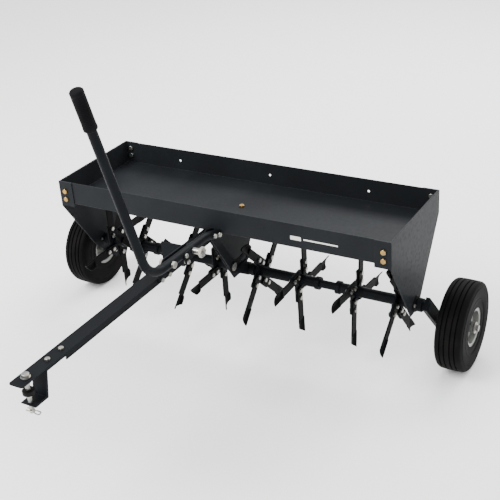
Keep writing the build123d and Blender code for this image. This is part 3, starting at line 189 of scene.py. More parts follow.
class Graph:
    """A new material's node graph, which ends in one Principled BSDF."""

    def __init__(self, name: str) -> None:
        """Makes the material.

        Args:
            name: the material's name.
        """
        self.material = bpy.data.materials.new(name)
        self.material.use_nodes = True
        self.tree = self.material.node_tree
        self.tree.nodes.clear()
        self.place = self.add("ShaderNodeTexCoord", {}, {})["Object"]

    def add(self, kind: str, settings: dict[str, object], sockets: dict[object, object]) -> Outputs:
        """Adds one node.

        Args:
            kind: the node's type.
            settings: its properties, such as an operation, set before its sockets.
            sockets: input name or number to a value or a Shade.

        Returns:
            The node's outputs.
        """
        node = self.tree.nodes.new(kind)
        for key, value in settings.items():
            setattr(node, key, value)
        for key, value in sockets.items():
            if isinstance(key, str):
                socket = next(s for s in node.inputs if s.name == key and s.enabled)
            else:
                socket = node.inputs[key]
            if isinstance(value, Shade):
                self.tree.links.new(value.socket, socket)
            else:
                socket.default_value = value
        return Outputs(self, node)

    def noise(self, scale: float, detail: float = 2.0, stretch: Point = (1, 1, 1)) -> Shade:
        """Noise from 0 to 1 on Object coordinates.

        Args:
            scale: waves in a metre.
            detail: octaves.
            stretch: how much faster it runs along each axis.

        Returns:
            The noise value.
        """
        place = self.place
        if stretch != (1, 1, 1):
            place = self.add("ShaderNodeMapping", {}, {"Vector": place, "Scale": stretch})["Vector"]
        return self.add("ShaderNodeTexNoise", {}, {"Vector": place, "Scale": scale, "Detail": detail})["Fac"]

    def mix(self, factor: Shade, first: object, second: object) -> Shade:
        """A colour between two colours.

        Args:
            factor: 0 gives first, 1 gives second.
            first: a colour or a Shade.
            second: a colour or a Shade.

        Returns:
            The mixed colour.
        """
        sockets = {"Factor": factor}
        for key, value in (("A", first), ("B", second)):
            sockets[key] = value if isinstance(value, Shade) else (*value, 1.0)
        return self.add("ShaderNodeMix", {"data_type": "RGBA"}, sockets)["Result"]

    def bump(self, height: Shade, depth: float, normal: Shade | None = None) -> Shade:
        """A normal bumped by a height.

        Args:
            height: the height, from 0 to 1.
            depth: the height of 1, in metres.
            normal: the normal to start from.

        Returns:
            The bumped normal.
        """
        sockets: dict[object, object] = {"Height": height, "Distance": depth, "Strength": 1.0}
        if normal is not None:
            sockets["Normal"] = normal
        return self.add("ShaderNodeBump", {}, sockets)["Normal"]

    def soft_edges(self, radius: float) -> tuple[Shade, Shade]:
        """The normal with its edges rounded, and a mask of those edges.

        Args:
            radius: the rounding, in metres.

        Returns:
            The rounded normal, and 1 on an edge and 0 on flat metal.
        """
        rounded = self.add("ShaderNodeBevel", {"samples": 4}, {"Radius": radius})["Normal"]
        true = self.add("ShaderNodeNewGeometry", {}, {})["Normal"]
        dot = self.add("ShaderNodeVectorMath", {"operation": "DOT_PRODUCT"}, {0: rounded, 1: true})["Value"]
        return rounded, (1.0 - dot).ramp(0.01, 0.16)

    def principled(self, sockets: dict[object, object]) -> bpy.types.Material:
        """Ends the graph in a Principled BSDF.

        Args:
            sockets: the shader's inputs.

        Returns:
            The finished material.
        """
        shader = self.add("ShaderNodeBsdfPrincipled", {}, sockets)
        self.add("ShaderNodeOutputMaterial", {}, {"Surface": shader["BSDF"]})
        return self.material


def scaled(colour: Colour, factor: float) -> Colour:
    """A colour made lighter or darker by a factor."""
    return (colour[0] * factor, colour[1] * factor, colour[2] * factor)


# ---- finishes -----------------------------------------------------------------------


@dataclass(frozen=True)
class PowderCoat:
    """Satin powder coat on sheet steel: orange peel, soft edges with a painted highlight, faint dust."""

    name: str
    colour: Colour
    roughness: float = 0.42
    shine: float = 0.03
    edge_radius: float = 0.0012
    # How much lighter the edges are painted: a painted edge highlight, not wear.
    rub: float = 1.9

    def make(self) -> bpy.types.Material:
        """Builds the material.

        Returns:
            The finish's material.
        """
        g = Graph(self.name)
        rounded, edge = g.soft_edges(self.edge_radius)
        cloud = g.noise(6.0, 4.0)
        peel = g.noise(520.0, 2.0)
        speck = g.noise(95.0, 5.0)
        body = g.mix(cloud.ramp(0.3, 0.7), scaled(self.colour, 0.86), scaled(self.colour, 1.16))
        dust = speck.ramp(0.5, 0.78) * cloud.ramp(0.35, 0.75) * 0.22
        dusty = g.mix(dust, body, scaled(self.colour, 2.6))
        # Painted edge highlight: the base colour is lightened in patches on the rounded edges, standing for
        # light catching them.
        edge_highlighted = g.mix(edge * speck.ramp(0.3, 0.6) * 0.75, dusty, scaled(self.colour, self.rub * 2))
        rough = self.roughness + (speck - 0.5) * 0.14 + dust * 0.5 - edge * 0.08
        return g.principled({
            "Base Color": edge_highlighted,
            "Roughness": rough,
            "Specular IOR Level": self.shine,
            "Normal": g.bump(peel, 0.00008, rounded),
        })


@dataclass(frozen=True)
class PlatedSteel:
    """Zinc plate: bright or yellow, a little uneven, with handling marks."""

    name: str
    colour: Colour
    second: Colour
    roughness: float = 0.3

    def make(self) -> bpy.types.Material:
        """Builds the material.

        Returns:
            The finish's material.
        """
        g = Graph(self.name)
        patch = g.noise(70.0, 3.0)
        scratch = g.noise(420.0, 3.0, (1.0, 7.0, 1.0))
        film = g.mix(patch.ramp(0.35, 0.68), self.colour, self.second)
        dull = g.mix(scratch.ramp(0.55, 0.8) * 0.5, film, scaled(self.colour, 0.6))
        return g.principled({
            "Base Color": dull,
            "Metallic": 0.92,
            "Roughness": self.roughness + (patch - 0.5) * 0.2 + scratch.ramp(0.5, 0.8) * 0.12,
            "Normal": g.bump(scratch, 0.00005),
        })


@dataclass(frozen=True)
class MouldedRubber:
    """Tyre rubber or a soft grip: matte, finely grained, with a grey bloom where it is handled."""

    name: str
    colour: Colour
    bloom: Colour
    grain: float = 800.0
    roughness: float = 0.62

    def make(self) -> bpy.types.Material:
        """Builds the material.

        Returns:
            The finish's material.
        """
        g = Graph(self.name)
        cloud = g.noise(14.0, 4.0)
        grain = g.noise(self.grain, 3.0)
        bloom = cloud.ramp(0.4, 0.75) * 0.55 + grain.ramp(0.5, 0.8) * 0.2
        return g.principled({
            "Base Color": g.mix(bloom, self.colour, self.bloom),
            "Roughness": self.roughness + (cloud - 0.5) * 0.2,
            "Specular IOR Level": 0.03,
            "Normal": g.bump(grain, 0.00012),
        })


@dataclass(frozen=True)
class SilverPaint:
    """Silver paint with fine flake and cloudy grime."""

    name: str
    colour: Colour
    dirt: Colour

    def make(self) -> bpy.types.Material:
        """Builds the material.

        Returns:
            The finish's material.
        """
        g = Graph(self.name)
        rounded, edge = g.soft_edges(0.0008)
        flake = g.noise(1500.0, 1.0)
        cloud = g.noise(24.0, 5.0)
        tone = g.mix(cloud.ramp(0.42, 0.8) * 0.6, self.colour, self.dirt)
        lit = g.mix(flake.ramp(0.55, 0.75) * 0.3, tone, scaled(self.colour, 1.2))
        return g.principled({
            "Base Color": lit,
            "Metallic": 0.55,
            "Roughness": 0.36 + (cloud - 0.5) * 0.2 - edge * 0.06,
            "Coat Weight": 0.25,
            "Normal": g.bump(flake, 0.00003, rounded),
        })


@dataclass(frozen=True)
class Moulding:
    """Black nylon or vinyl with a fine moulded grain."""

    name: str
    colour: Colour

    def make(self) -> bpy.types.Material:
        """Builds the material.

        Returns:
            The finish's material.
        """
        g = Graph(self.name)
        grain = g.noise(1100.0, 2.0)
        cloud = g.noise(40.0, 3.0)
        return g.principled({
            "Base Color": g.mix(cloud.ramp(0.3, 0.7), scaled(self.colour, 0.8), scaled(self.colour, 1.35)),
            "Roughness": 0.5 + (grain - 0.5) * 0.2,
            "Specular IOR Level": 0.06,
            "Normal": g.bump(grain, 0.00006),
        })


@dataclass(frozen=True)
class Decal:
    """A plain pale printed film."""

    name: str
    colour: Colour

    def make(self) -> bpy.types.Material:
        """Builds the material.

        Returns:
            The finish's material.
        """
        g = Graph(self.name)
        print_grain = g.noise(900.0, 2.0)
        faded = g.mix(print_grain.ramp(0.4, 0.8) * 0.35, self.colour, scaled(self.colour, 0.7))
        return g.principled({"Base Color": faded, "Roughness": 0.4 + print_grain * 0.1})


FINISHES = {
    Slot.TRAY: PowderCoat("tray_powder_coat", (0.0098, 0.0110, 0.0126), 0.47, 0.055),
    Slot.FRAME: PowderCoat("frame_powder_coat", (0.0058, 0.0067, 0.0080), 0.44, 0.030),
    Slot.TINE: PowderCoat("tine_powder_coat", (0.0026, 0.0027, 0.0030), 0.50, 0.030),
    Slot.ZINC: PlatedSteel("bright_zinc_plate", (0.36, 0.34, 0.29), (0.20, 0.21, 0.22)),
    Slot.YELLOW_ZINC: PlatedSteel("yellow_zinc_plate", (0.38, 0.225, 0.055), (0.26, 0.17, 0.07)),
    Slot.NYLON: Moulding("black_nylon", (0.004, 0.004, 0.0045)),
    Slot.GRIP: MouldedRubber("grip_vinyl", (0.003, 0.003, 0.0035), (0.009, 0.009, 0.010), 1300.0, 0.58),
    Slot.TYRE: MouldedRubber("tyre_rubber", (0.0030, 0.0030, 0.0032), (0.0092, 0.0080, 0.0074)),
    Slot.RIM: SilverPaint("rim_silver_paint", (0.150, 0.158, 0.146), (0.085, 0.066, 0.058)),
}


class FinishShop:
    """Makes each finish once and dresses pieces and frame nodes with it."""

    def __init__(self) -> None:
        """Builds every finish's material."""
        self.materials = {slot: finish.make() for slot, finish in FINISHES.items()}

    def dress(self, piece: bpy.types.Object, slot: Slot) -> bpy.types.Object:
        """Gives a piece its finish.

        Args:
            piece: the object to dress.
            slot: the record's slot that the finish belongs to.

        Returns:
            The same object.
        """
        piece.data.materials.clear()
        piece.data.materials.append(self.materials[slot])
        return piece

    def dress_frame(self) -> None:
        """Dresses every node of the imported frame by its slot."""
        for row in frame["record"]["subparts"]:
            node = frame["nodes"][row["node"]]
            self.dress(node, Slot(row["material_slot"]))
        LOG.info("dressed %d frame nodes", len(frame["nodes"]))


# ---- mesh helpers -------------------------------------------------------------------


def middle(node: str) -> Vector:
    """The middle of a frame node's box."""
    low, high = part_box(node)
    return (low + high) / 2


def as_object(name: str, mesh: bmesh.types.BMesh, smooth: bool = True) -> bpy.types.Object:
    """Turns a bmesh into an object at the origin, with outward faces.

    Args:
        name: the piece's name.
        mesh: the bmesh, which is freed.
        smooth: whether its faces are shaded smooth.

    Returns:
        The new object.
    """
    bmesh.ops.remove_doubles(mesh, verts=mesh.verts, dist=1e-6)
    bmesh.ops.recalc_face_normals(mesh, faces=mesh.faces)
    for face in mesh.faces:
        face.smooth = smooth
    data = bpy.data.meshes.new(name)
    mesh.to_mesh(data)
    mesh.free()
    piece = bpy.data.objects.new(name, data)
    bpy.context.scene.collection.objects.link(piece)
    return piece


def lathe(
    name: str, profile: Sequence[tuple[float, float]], start: Vector, way: Vector, turns: int, closed: bool
) -> bpy.types.Object:
    """Turns a profile about an axis.

    Args:
        name: the piece's name.
        profile: points as (distance along the axis, radius).
        start: where the axis starts.
        way: the axis's direction.
        turns: segments round the axis.
        closed: whether the profile's last point joins its first.

    Returns:
        The turned piece.
    """
    mesh = bmesh.new()
    turn = way.normalized().to_track_quat("Z", "Y").to_matrix()
    rings = []
    for along, radius in profile:
        if radius < 1e-6:
            rings.append([mesh.verts.new(start + turn @ Vector((0, 0, along)))])
            continue
        ring = []
        for step in range(turns):
            angle = TURN * step / turns
            spot = Vector((radius * math.cos(angle), radius * math.sin(angle), along))
            ring.append(mesh.verts.new(start + turn @ spot))
        rings.append(ring)
    pairs = list(zip(rings, rings[1:]))
    if closed:
        pairs.append((rings[-1], rings[0]))
    for lower, upper in pairs:
        for step in range(turns):
            after = (step + 1) % turns
            corners = [lower[step % len(lower)], lower[after % len(lower)]]
            corners += [upper[after % len(upper)], upper[step % len(upper)]]
            corners = list(dict.fromkeys(corners))
            mesh.faces.new(corners)
    return as_object(name, mesh)


def sharpen(piece: bpy.types.Object, degrees: float) -> bpy.types.Object:
    """Marks edges over an angle as sharp, so flats stay flat.

    Args:
        piece: the object.
        degrees: the angle.

    Returns:
        The same object.
    """
    mesh = piece.data
    mesh.set_sharp_from_angle(angle=math.radians(degrees))
    return piece


# ---- repeated pieces by Geometry Nodes ----------------------------------------------


class RingTree:
    """A Geometry Nodes tree that repeats a small shape round circles about an X axis."""

    def __init__(
        self, name: str, add_shape: Callable[["RingTree"], bpy.types.NodeSocket], sizes: dict[str, float]
    ) -> None:
        """Builds the tree.

        Args:
            name: the tree's name.
            add_shape: adds the repeated shape's nodes and returns its mesh socket.
            sizes: the shape's own named inputs and their first values.
        """
        self.tree = bpy.data.node_groups.new(name, "GeometryNodeTree")
        face = self.tree.interface
        face.new_socket("Geometry", in_out="OUTPUT", socket_type="NodeSocketGeometry")
        for label, value in {"Radius": 0.02, "Phase": 0.0, "Tilt": 0.0, **sizes}.items():
            socket = face.new_socket(label, in_out="INPUT", socket_type="NodeSocketFloat")
            socket.default_value = value
        count = face.new_socket("Count", in_out="INPUT", socket_type="NodeSocketInt")
        count.default_value = 12
        face.new_socket("Centre", in_out="INPUT", socket_type="NodeSocketVector")
        face.new_socket("Finish", in_out="INPUT", socket_type="NodeSocketMaterial")
        self.inputs = self.tree.nodes.new("NodeGroupInput")
        self._join(add_shape(self))

    def node(self, kind: str, settings: dict[str, object], sockets: dict[object, object]) -> bpy.types.Node:
        """Adds one node.

        Args:
            kind: the node's type.
            settings: its properties.
            sockets: input name or number to a value or an output socket.

        Returns:
            The node.
        """
        node = self.tree.nodes.new(kind)
        for key, value in settings.items():
            setattr(node, key, value)
        for key, value in sockets.items():
            socket = node.inputs[key]
            if isinstance(value, bpy.types.NodeSocket):
                self.tree.links.new(value, socket)
            else:
                socket.default_value = value
        return node

    def _join(self, shape: bpy.types.NodeSocket) -> None:
        """Instances the shape round the circle, realizes it and sets its material."""
        inputs = self.inputs.outputs
        circle = self.node("GeometryNodeCurvePrimitiveCircle", {}, {
            "Resolution": CIRCLE_STEPS,
            "Radius": inputs["Radius"],
        })
        points = self.node("GeometryNodeCurveToPoints", {}, {
            "Curve": circle.outputs["Curve"],
            "Count": inputs["Count"],
        })
        tilt = self.node("ShaderNodeCombineXYZ", {}, {"X": inputs["Tilt"]})
        tilted = self.node("FunctionNodeRotateRotation", {"rotation_space": "LOCAL"}, {
            "Rotation": points.outputs["Rotation"],
            "Rotate By": self.node("FunctionNodeEulerToRotation", {}, {"Euler": tilt.outputs[0]}).outputs[0],
        })
        placed = self.node("GeometryNodeInstanceOnPoints", {}, {
            "Points": points.outputs["Points"],
            "Instance": shape,
            "Rotation": tilted.outputs["Rotation"],
        })
        phase = self.node("ShaderNodeCombineXYZ", {}, {"Z": inputs["Phase"]})
        spun = self.node("GeometryNodeTransform", {}, {
            "Geometry": placed.outputs["Instances"],
            "Rotation": phase.outputs[0],
        })
        stood = self.node("GeometryNodeTransform", {}, {
            "Geometry": spun.outputs["Geometry"],
            "Rotation": (0.0, math.pi / 2, 0.0),
            "Translation": inputs["Centre"],
        })
        real = self.node("GeometryNodeRealizeInstances", {}, {"Geometry": stood.outputs["Geometry"]})
        dressed = self.node("GeometryNodeSetMaterial", {}, {
            "Geometry": real.outputs["Geometry"],
            "Material": inputs["Finish"],
        })
        out = self.tree.nodes.new("NodeGroupOutput")
        self.tree.links.new(dressed.outputs["Geometry"], out.inputs["Geometry"])

    def _identifier(self, label: str) -> str:
        """The identifier of the tree's input of that name."""
        items = self.tree.interface.items_tree
        return next(i.identifier for i in items if i.name == label and i.in_out == "INPUT")

    def build(self, name: str, finish: bpy.types.Material, **sizes: object) -> bpy.types.Object:
        """Runs the tree once and keeps its result as a plain mesh.

        Args:
            name: the object's name.
            finish: its material.
            sizes: the tree's inputs by name, with _ for a space.

        Returns:
            The mesh object, at the origin.
        """
        holder = bpy.data.objects.new(name + "_holder", bpy.data.meshes.new(name + "_holder"))
        bpy.context.scene.collection.objects.link(holder)
        modifier = holder.modifiers.new("ring", "NODES")
        modifier.node_group = self.tree
        modifier[self._identifier("Finish")] = finish
        for label, value in sizes.items():
            modifier[self._identifier(label.replace("_", " "))] = value
        graph = bpy.context.evaluated_depsgraph_get()
        mesh = bpy.data.meshes.new_from_object(holder.evaluated_get(graph), depsgraph=graph)
        bpy.data.objects.remove(holder)
        mesh.name = name
        piece = bpy.data.objects.new(name, mesh)
        bpy.context.scene.collection.objects.link(piece)
        return piece


def bead_shape(tree: RingTree) -> bpy.types.NodeSocket:
    """A flattened weld ripple whose width and length are the tree's inputs."""
    inputs = tree.inputs.outputs
    ball = tree.node("GeometryNodeMeshUVSphere", {}, {"Segments": 8, "Rings": 6, "Radius": 0.5})
    size = tree.node("ShaderNodeCombineXYZ", {}, {
        "X": inputs["Width"],
        "Y": inputs["Width"],
        "Z": inputs["Length"],
    })
    squeezed = tree.node("GeometryNodeTransform", {}, {
        "Geometry": ball.outputs["Mesh"],
        "Scale": size.outputs[0],
    })
    smooth = tree.node("GeometryNodeSetShadeSmooth", {}, {"Geometry": squeezed.outputs["Geometry"]})
    return smooth.outputs["Geometry"]


def lug_shape(tree: RingTree) -> bpy.types.NodeSocket:
    """A small moulded block whose three sizes are the tree's inputs."""
    inputs = tree.inputs.outputs
    size = tree.node("ShaderNodeCombineXYZ", {}, {
        "X": inputs["Height"],
        "Y": inputs["Width"],
        "Z": inputs["Length"],
    })
    block = tree.node("GeometryNodeMeshCube", {}, {"Size": size.outputs[0]})
    return block.outputs["Mesh"]


def joined(name: str, pieces: Sequence[bpy.types.Object]) -> bpy.types.Object:
    """Joins several mesh objects into the first.

    Args:
        name: the joined piece's name.
        pieces: the objects, all at the origin.

    Returns:
        The joined piece.
    """
    mesh = bmesh.new()
    for piece in pieces:
        mesh.from_mesh(piece.data)
    first = pieces[0]
    mesh.to_mesh(first.data)
    mesh.free()
    for piece in pieces[1:]:
        bpy.data.objects.remove(piece)
    first.name = name
    return first


# ---- wheels -------------------------------------------------------------------------


@dataclass
class Wheel:
    """One pneumatic wheel: a ribbed tyre with shoulder blocks, and its valve."""

    side: Side
    shop: FinishShop
    segments: int = 144
    groove_half: float = 0.0019
    groove_depth: float = 0.0046
    shoulder_blocks: int = 60
    block_height: float = 0.0120
    block_width: float = 0.0030
    block_length: float = 0.0062
    block_sink: float = 0.0117
    block_inset: float = 0.0052
    block_phase: float = 0.02
    valve_place: Point = (0.016, -0.0330, 0.0313)

    @property
    def body(self) -> Body:
        """The wheel's body."""
        return Body.LEFT_WHEEL if self.side is Side.LEFT else Body.RIGHT_WHEEL

    def _half_profile(self) -> list[tuple[float, float]]:
        """The tyre's outside from the crown's middle to the bead, as (x, radius).

        Returns:
            The profile's points.
        """
        low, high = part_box(f"{self.side.word}_tyre")
        outer = (high.z - low.z) / 2
        half = (high.x - low.x) / 2
        rim_low, rim_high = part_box(f"{self.side.word}_rim")
        rim = (rim_high.z - rim_low.z) / 2
        points = [(0.0, outer)]
        for groove in (0.0085, 0.0225):
            crown = outer - groove * groove * 0.9
            points += [
                (groove - self.groove_half - 0.0006, crown),
                (groove - self.groove_half, crown - 0.0008),
                (groove - self.groove_half + 0.0006, crown - self.groove_depth),
                (groove + self.groove_half - 0.0006, crown - self.groove_depth),
                (groove + self.groove_half, crown - 0.0008),
                (groove + self.groove_half + 0.0006, crown),
            ]
        points += [
            (half - 0.0100, outer - 0.0012),
            (half - 0.0062, outer - 0.0032),
            (half - 0.0034, outer - 0.0068),
            (half - 0.0020, outer - 0.0120),
            (half - 0.0016, outer - 0.0180),
            (half - 0.0004, outer - 0.0186),
            (half - 0.0002, outer - 0.0215),
            (half - 0.0010, outer - 0.0222),
            (half - 0.0006, outer - 0.0300),
            (half - 0.0014, outer - 0.0420),
            (half - 0.0030, outer - 0.0520),
            (half - 0.0022, outer - 0.0527),
            (half - 0.0026, outer - 0.0548),
            (half - 0.0034, outer - 0.0556),
            (half - 0.0036, rim + 0.0060),
            (half - 0.0034, rim - 0.0020),
            (half - 0.0037, rim - 0.0050),
            (half - 0.0042, rim - 0.0058),
            (half - 0.0046, rim - 0.0050),
            (half - 0.0047, rim + 0.0005),
            (half - 0.0100, rim + 0.0005),
            (half - 0.0106, rim - 0.0050),
            (half - 0.0110, rim - 0.0110),
        ]
        return points

    def _inside(self) -> list[tuple[float, float]]:
        """The tyre's inside from the bead back to the crown's middle.

        Returns:
            The profile's points.
        """
        low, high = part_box(f"{self.side.word}_tyre")
        outer = (high.z - low.z) / 2
        half = (high.x - low.x) / 2
        return [
            (half - 0.019, outer - 0.0860),
            (half - 0.012, outer - 0.05),
            (half - 0.011, outer - 0.02),
            (0.0, outer - 0.011),
        ]

    def tyre(self) -> bpy.types.Object:
        """Builds the tyre from one closed profile.

        Returns:
            The tyre, dressed.
        """
        out, inner = self._half_profile(), self._inside()
        profile = [(-x, r) for x, r in reversed(out) if x > 0] + out
        profile += inner + [(-x, r) for x, r in reversed(inner) if x > 0]
        centre = middle(f"{self.side.word}_tyre")
        name = f"{self.side.word}_tyre_detailed"
        tyre = lathe(name, profile, centre, Vector((1, 0, 0)), self.segments, True)
        return sharpen(self.shop.dress(tyre, Slot.TYRE), 50)

    def shoulders(self, tree: RingTree) -> bpy.types.Object:
        """The moulded blocks round both of the tyre's shoulders.

        Args:
            tree: the tree that repeats a block.

        Returns:
            Both rings as one piece.
        """
        low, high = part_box(f"{self.side.word}_tyre")
        centre = middle(f"{self.side.word}_tyre")
        outer = (high.z - low.z) / 2
        rings = []
        for way in (-1, 1):
            spot = centre + Vector((way * ((high.x - low.x) / 2 - self.block_inset), 0, 0))
            rings.append(tree.build(
                f"{self.side.word}_shoulder_{'in' if way < 0 else 'out'}", self.shop.materials[Slot.TYRE],
                Radius=outer - self.block_sink, Count=self.shoulder_blocks, Centre=tuple(spot),
                Height=self.block_height, Width=self.block_width, Length=self.block_length,
                Phase=self.block_phase * way,
            ))
        return joined(f"{self.side.word}_shoulder_blocks", rings)

    def valve(self) -> bpy.types.Object:
        """The valve stem and its cap, in the dish on the wheel's outer face.

        Returns:
            The valve, dressed.
        """
        centre = middle(f"{self.side.word}_rim")
        outward, back, up = self.valve_place
        start = centre + Vector((self.side.value * outward, back, up))
        profile = [
            (0.0, 0.0), (0.0, 0.0052), (0.003, 0.0052), (0.006, 0.0034), (0.013, 0.0030), (0.0131, 0.0040),
            (0.0200, 0.0038), (0.0214, 0.0030), (0.0214, 0.0),
        ]
        valve = lathe(f"{self.side.word}_valve", profile, start, Vector((self.side.value, 0, 0)), 20, False)
        return sharpen(self.shop.dress(valve, Slot.NYLON), 35)

    def build(self, tree: RingTree) -> None:
        """Builds the wheel's pieces and hands them to the frame.

        Args:
            tree: the tree that repeats a shoulder block.
        """
        tyre = self.tyre()
        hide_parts(f"{self.side.word}_tyre")
        for piece, slot in ((tyre, Slot.TYRE), (self.shoulders(tree), Slot.TYRE), (self.valve(), Slot.NYLON)):
            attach(piece, self.body.value)
            LOG.info("%s: %d faces", piece.name, len(piece.data.polygons))


# ---- lift handle --------------------------------------------------------------------


@dataclass
class HandleGrip:
    """The soft grip on the lift handle: a ribbed sleeve with a rounded cap and a collar."""

    shop: FinishShop
    length: float = 0.112
    radius: float = 0.018
    ribs: int = 17
    rib_depth: float = 0.0008
    bore: float = 0.01302
    cap: float = 0.0062
    tube_run: tuple[float, float] = (0.1780, 0.5845)

    def build(self) -> None:
        """Builds the grip in place of the frame's plain one."""
        low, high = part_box("handle_grip")
        lean = math.atan2(*self.tube_run)
        way = Vector((0.0, math.sin(lean), -math.cos(lean)))
        centre = (low + high) / 2
        start = centre - way * self.length / 2
        profile = [
            (0.0, 0.0),
            (0.0, self.radius - 0.006),
            (0.0012, self.radius - 0.0028),
            (0.0042, self.radius - 0.0004),
        ]
        ribbed = self.length - 0.026
        steps = self.ribs * 6
        for step in range(steps + 1):
            share = step / steps
            wave = 0.5 - 0.5 * math.cos(TURN * share * self.ribs)
            profile.append((0.010 + ribbed * share, self.radius - 0.0004 - self.rib_depth * wave))
        profile += [
            (self.length - 0.012, self.radius - 0.0006),
            (self.length - 0.0095, self.radius),
            (self.length - 0.0025, self.radius),
            (self.length, self.radius - 0.0022),
            (self.length, self.bore),
            (self.cap, self.bore),
            (self.cap, 0.0),
        ]
        grip = lathe("ribbed_grip", profile, start, way, 56, False)
        sharpen(self.shop.dress(grip, Slot.GRIP), 60)
        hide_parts("handle_grip")
        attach(grip, Body.HANDLE.value)
        LOG.info("%s: %.0f mm long", grip.name, self.length * 1000)


# ---- welds --------------------------------------------------------------------------


@dataclass
class Welds:
    """Weld beads round the shaft and the reels' sleeves."""

    shop: FinishShop
    tree: RingTree
    bead: float = 0.0042
    pitch: float = 0.0026
    sheet: float = 0.005
    reel_stand: float = 0.0006
    axle_stand: float = 0.0008

    def ring(self, name: str, centre: Vector, radius: float, slot: Slot) -> bpy.types.Object:
        """One ring of ripples about an X axis.

        Args:
            name: the piece's name.
            centre: the ring's middle.
            radius: the ring's radius.
            slot: the finish.

        Returns:
            The ring.
        """
        count = int(TURN * radius / self.pitch)
        sizes = {"Width": self.bead, "Length": self.pitch * 1.7}
        finish = self.shop.materials[slot]
        return self.tree.build(name, finish, Radius=radius, Count=count, Centre=tuple(centre), **sizes)

    def reel(self, reel: str) -> None:
        """Beads on both faces of each star plate, where it meets the sleeve.

        Args:
            reel: the reel's name, which is also its body.
        """
        low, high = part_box(f"{reel}_star_plates")
        sleeve_low, sleeve_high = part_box(f"{reel}_sleeve")
        radius = (sleeve_high.z - sleeve_low.z) / 2
        axis = middle(f"{reel}_sleeve")
        rings = []
        for number, face in enumerate((low.x, low.x + self.sheet, high.x - self.sheet, high.x)):
            spot = Vector((face, axis.y, axis.z))
            rings.append(self.ring(f"{reel}_weld_{number}", spot, radius + self.reel_stand, Slot.TINE))
        piece = joined(f"{reel}_welds", rings)
        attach(piece, reel)
        LOG.info("%s: %d faces", piece.name, len(piece.data.polygons))

    def axle(self) -> None:
        """Beads where the crank arms and the lever meet the shaft."""
        shaft = middle("axle_shaft")
        shaft_low, shaft_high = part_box("axle_shaft")
        radius = (shaft_high.z - shaft_low.z) / 2
        rings = []
        for side in Side:
            low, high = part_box(f"{side.word}_crank_arm")
            inner = low.x if side is Side.RIGHT else high.x
            spot = Vector((inner, shaft.y, shaft.z))
            rings.append(self.ring(f"{side.word}_arm_weld", spot, radius + self.axle_stand, Slot.FRAME))
        low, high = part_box("crank_lever")
        for number, face in enumerate((low.x, high.x)):
            spot = Vector((face, shaft.y, shaft.z))
            rings.append(self.ring(f"lever_weld_{number}", spot, radius + self.axle_stand, Slot.FRAME))
        piece = joined("axle_welds", rings)
        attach(piece, Body.AXLE.value)
        LOG.info("%s: %d faces", piece.name, len(piece.data.polygons))


# ---- decal --------------------------------------------------------------------------


@dataclass
class FrontStripe:
    """A plain pale mark on the tray's front wall: a short block and a thin line."""

    left: float = 0.262
    right: float = 0.411
    height_share: float = 0.42
    lift: float = 0.00035
    colour: Colour = (0.62, 0.62, 0.58)

    def build(self) -> None:
        """Builds the mark a hair in front of the wall."""
        low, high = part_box("weight_tray")
        z = low.z + (high.z - low.z) * self.height_share
        front = low.y - self.lift
        back = low.y - self.lift / 2
        mesh = bmesh.new()
        bars = (
            (self.left, self.left + 0.034, z - 0.006, z + 0.006),
            (self.left + 0.042, self.right, z - 0.0022, z + 0.0022),
        )
        for x0, x1, z0, z1 in bars:
            size = Matrix.Diagonal((x1 - x0, back - front, z1 - z0, 1.0))
            spot = Matrix.Translation(((x0 + x1) / 2, (front + back) / 2, (z0 + z1) / 2))
            bmesh.ops.create_cube(mesh, size=1.0, matrix=spot @ size)
        mark = as_object("front_mark", mesh, False)
        mark.data.materials.append(Decal("pale_print", self.colour).make())
        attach(mark, Body.FRAME.value)
        LOG.info("%s: %.0f mm long", mark.name, (self.right - self.left) * 1000)


# ---- studio -------------------------------------------------------------------------


@dataclass(frozen=True)
class AreaLight:
    """One soft rectangular light."""

    name: str
    place: Point
    size: tuple[float, float]
    watts: float
    colour: Colour = (1.0, 1.0, 1.0)

    def build(self, target: Vector) -> None:
        """Adds the light, aimed at a point.

        Args:
            target: the point it faces.
        """
        data = bpy.data.lights.new(self.name, "AREA")
        data.shape = "RECTANGLE"
        data.size, data.size_y = self.size
        data.energy = self.watts
        data.color = self.colour
        light = bpy.data.objects.new(self.name, data)
        light.location = self.place
        light.rotation_euler = (target - Vector(self.place)).to_track_quat("-Z", "Y").to_euler()
        bpy.context.scene.collection.objects.link(light)


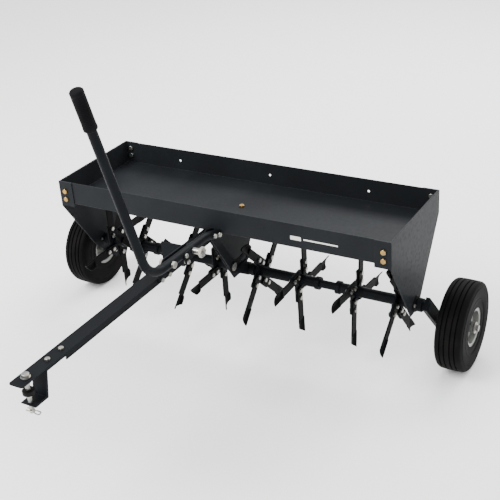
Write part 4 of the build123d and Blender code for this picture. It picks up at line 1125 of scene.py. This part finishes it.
@dataclass
class Studio:
    """A pale floor, soft lights and the camera."""

    azimuth: float = 31.45
    elevation: float = 27.52
    roll: float = -4.236
    lens: float = 72.0
    floor_size: float = 60.0
    floor_gap: float = 0.0005
    surround: float = 1.75
    aim: Point = (0.0, 0.1, 0.3)
    stand: Point = (1.4837, -2.4030, 1.2446)
    lights: tuple[AreaLight, ...] = (
        AreaLight("key", (-1.9, -2.2, 3.8), (2.4, 2.4), 290.0),
        AreaLight("fill", (3.2, -2.4, 2.6), (2.4, 2.4), 6.0),
        AreaLight("back", (0.4, 3.8, 3.4), (3.6, 1.6), 240.0),
    )

    def floor(self) -> None:
        """A plain pale floor, just under the tyres."""
        mesh = bmesh.new()
        bmesh.ops.create_grid(mesh, x_segments=1, y_segments=1, size=self.floor_size / 2)
        low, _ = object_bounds()
        bmesh.ops.translate(mesh, verts=mesh.verts, vec=Vector((0, 0, low.z - self.floor_gap)))
        floor = as_object("studio_floor", mesh, False)
        g = Graph("studio_floor")
        tone = g.mix(g.noise(0.6, 2.0), (0.92, 0.92, 0.92), (0.94, 0.94, 0.94))
        sockets = {"Base Color": tone, "Roughness": 0.9, "Specular IOR Level": 0.1}
        floor.data.materials.append(g.principled(sockets))
        floor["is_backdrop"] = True

    def world(self) -> None:
        """An even white surround."""
        world = bpy.data.worlds.new("surround")
        world.use_nodes = True
        background = world.node_tree.nodes["Background"]
        background.inputs["Color"].default_value = (1.0, 1.0, 1.0, 1.0)
        background.inputs["Strength"].default_value = self.surround
        bpy.context.scene.world = world

    def camera(self, place: Vector) -> None:
        """The camera at the machine's front right, turned a little about its own axis.

        Args:
            place: where it stands.
        """
        azimuth, elevation, roll = (math.radians(v) for v in (self.azimuth, self.elevation, self.roll))
        level = math.cos(elevation)
        back = Vector((math.sin(azimuth) * level, -math.cos(azimuth) * level, math.sin(elevation)))
        right = (-back).cross(Vector((0, 0, 1))).normalized()
        up = right.cross(-back)
        turned_right = right * math.cos(roll) + up * math.sin(roll)
        turned_up = up * math.cos(roll) - right * math.sin(roll)
        data = bpy.data.cameras.new("camera")
        data.lens = self.lens
        data.sensor_width = 36.0
        data.clip_end = 100.0
        camera = bpy.data.objects.new("camera", data)
        axes = Matrix((turned_right, turned_up, back)).transposed()
        camera.matrix_world = Matrix.Translation(place) @ axes.to_4x4()
        bpy.context.scene.collection.objects.link(camera)
        bpy.context.scene.camera = camera

    def build(self) -> None:
        """Builds the whole studio."""
        low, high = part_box("weight_tray")
        rim_middle = Vector(((low.x + high.x) / 2, (low.y + high.y) / 2, high.z))
        self.floor()
        self.world()
        for light in self.lights:
            light.build(Vector(self.aim))
        self.camera(rim_middle + Vector(self.stand))


def main() -> None:
    """Builds every piece in order."""
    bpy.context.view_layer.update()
    shop = FinishShop()
    shop.dress_frame()
    beads = RingTree("weld_ring", bead_shape, {"Width": 0.004, "Length": 0.004})
    lugs = RingTree("lug_ring", lug_shape, {"Height": 0.01, "Width": 0.006, "Length": 0.007})
    for side in Side:
        Wheel(side, shop).build(lugs)
    HandleGrip(shop).build()
    welds = Welds(shop, beads)
    for reel in ("outer_left_reel", "inner_left_reel", "inner_right_reel", "outer_right_reel"):
        welds.reel(reel)
    welds.axle()
    FrontStripe().build()
    Studio().build()


if __name__ == "__main__":
    main()
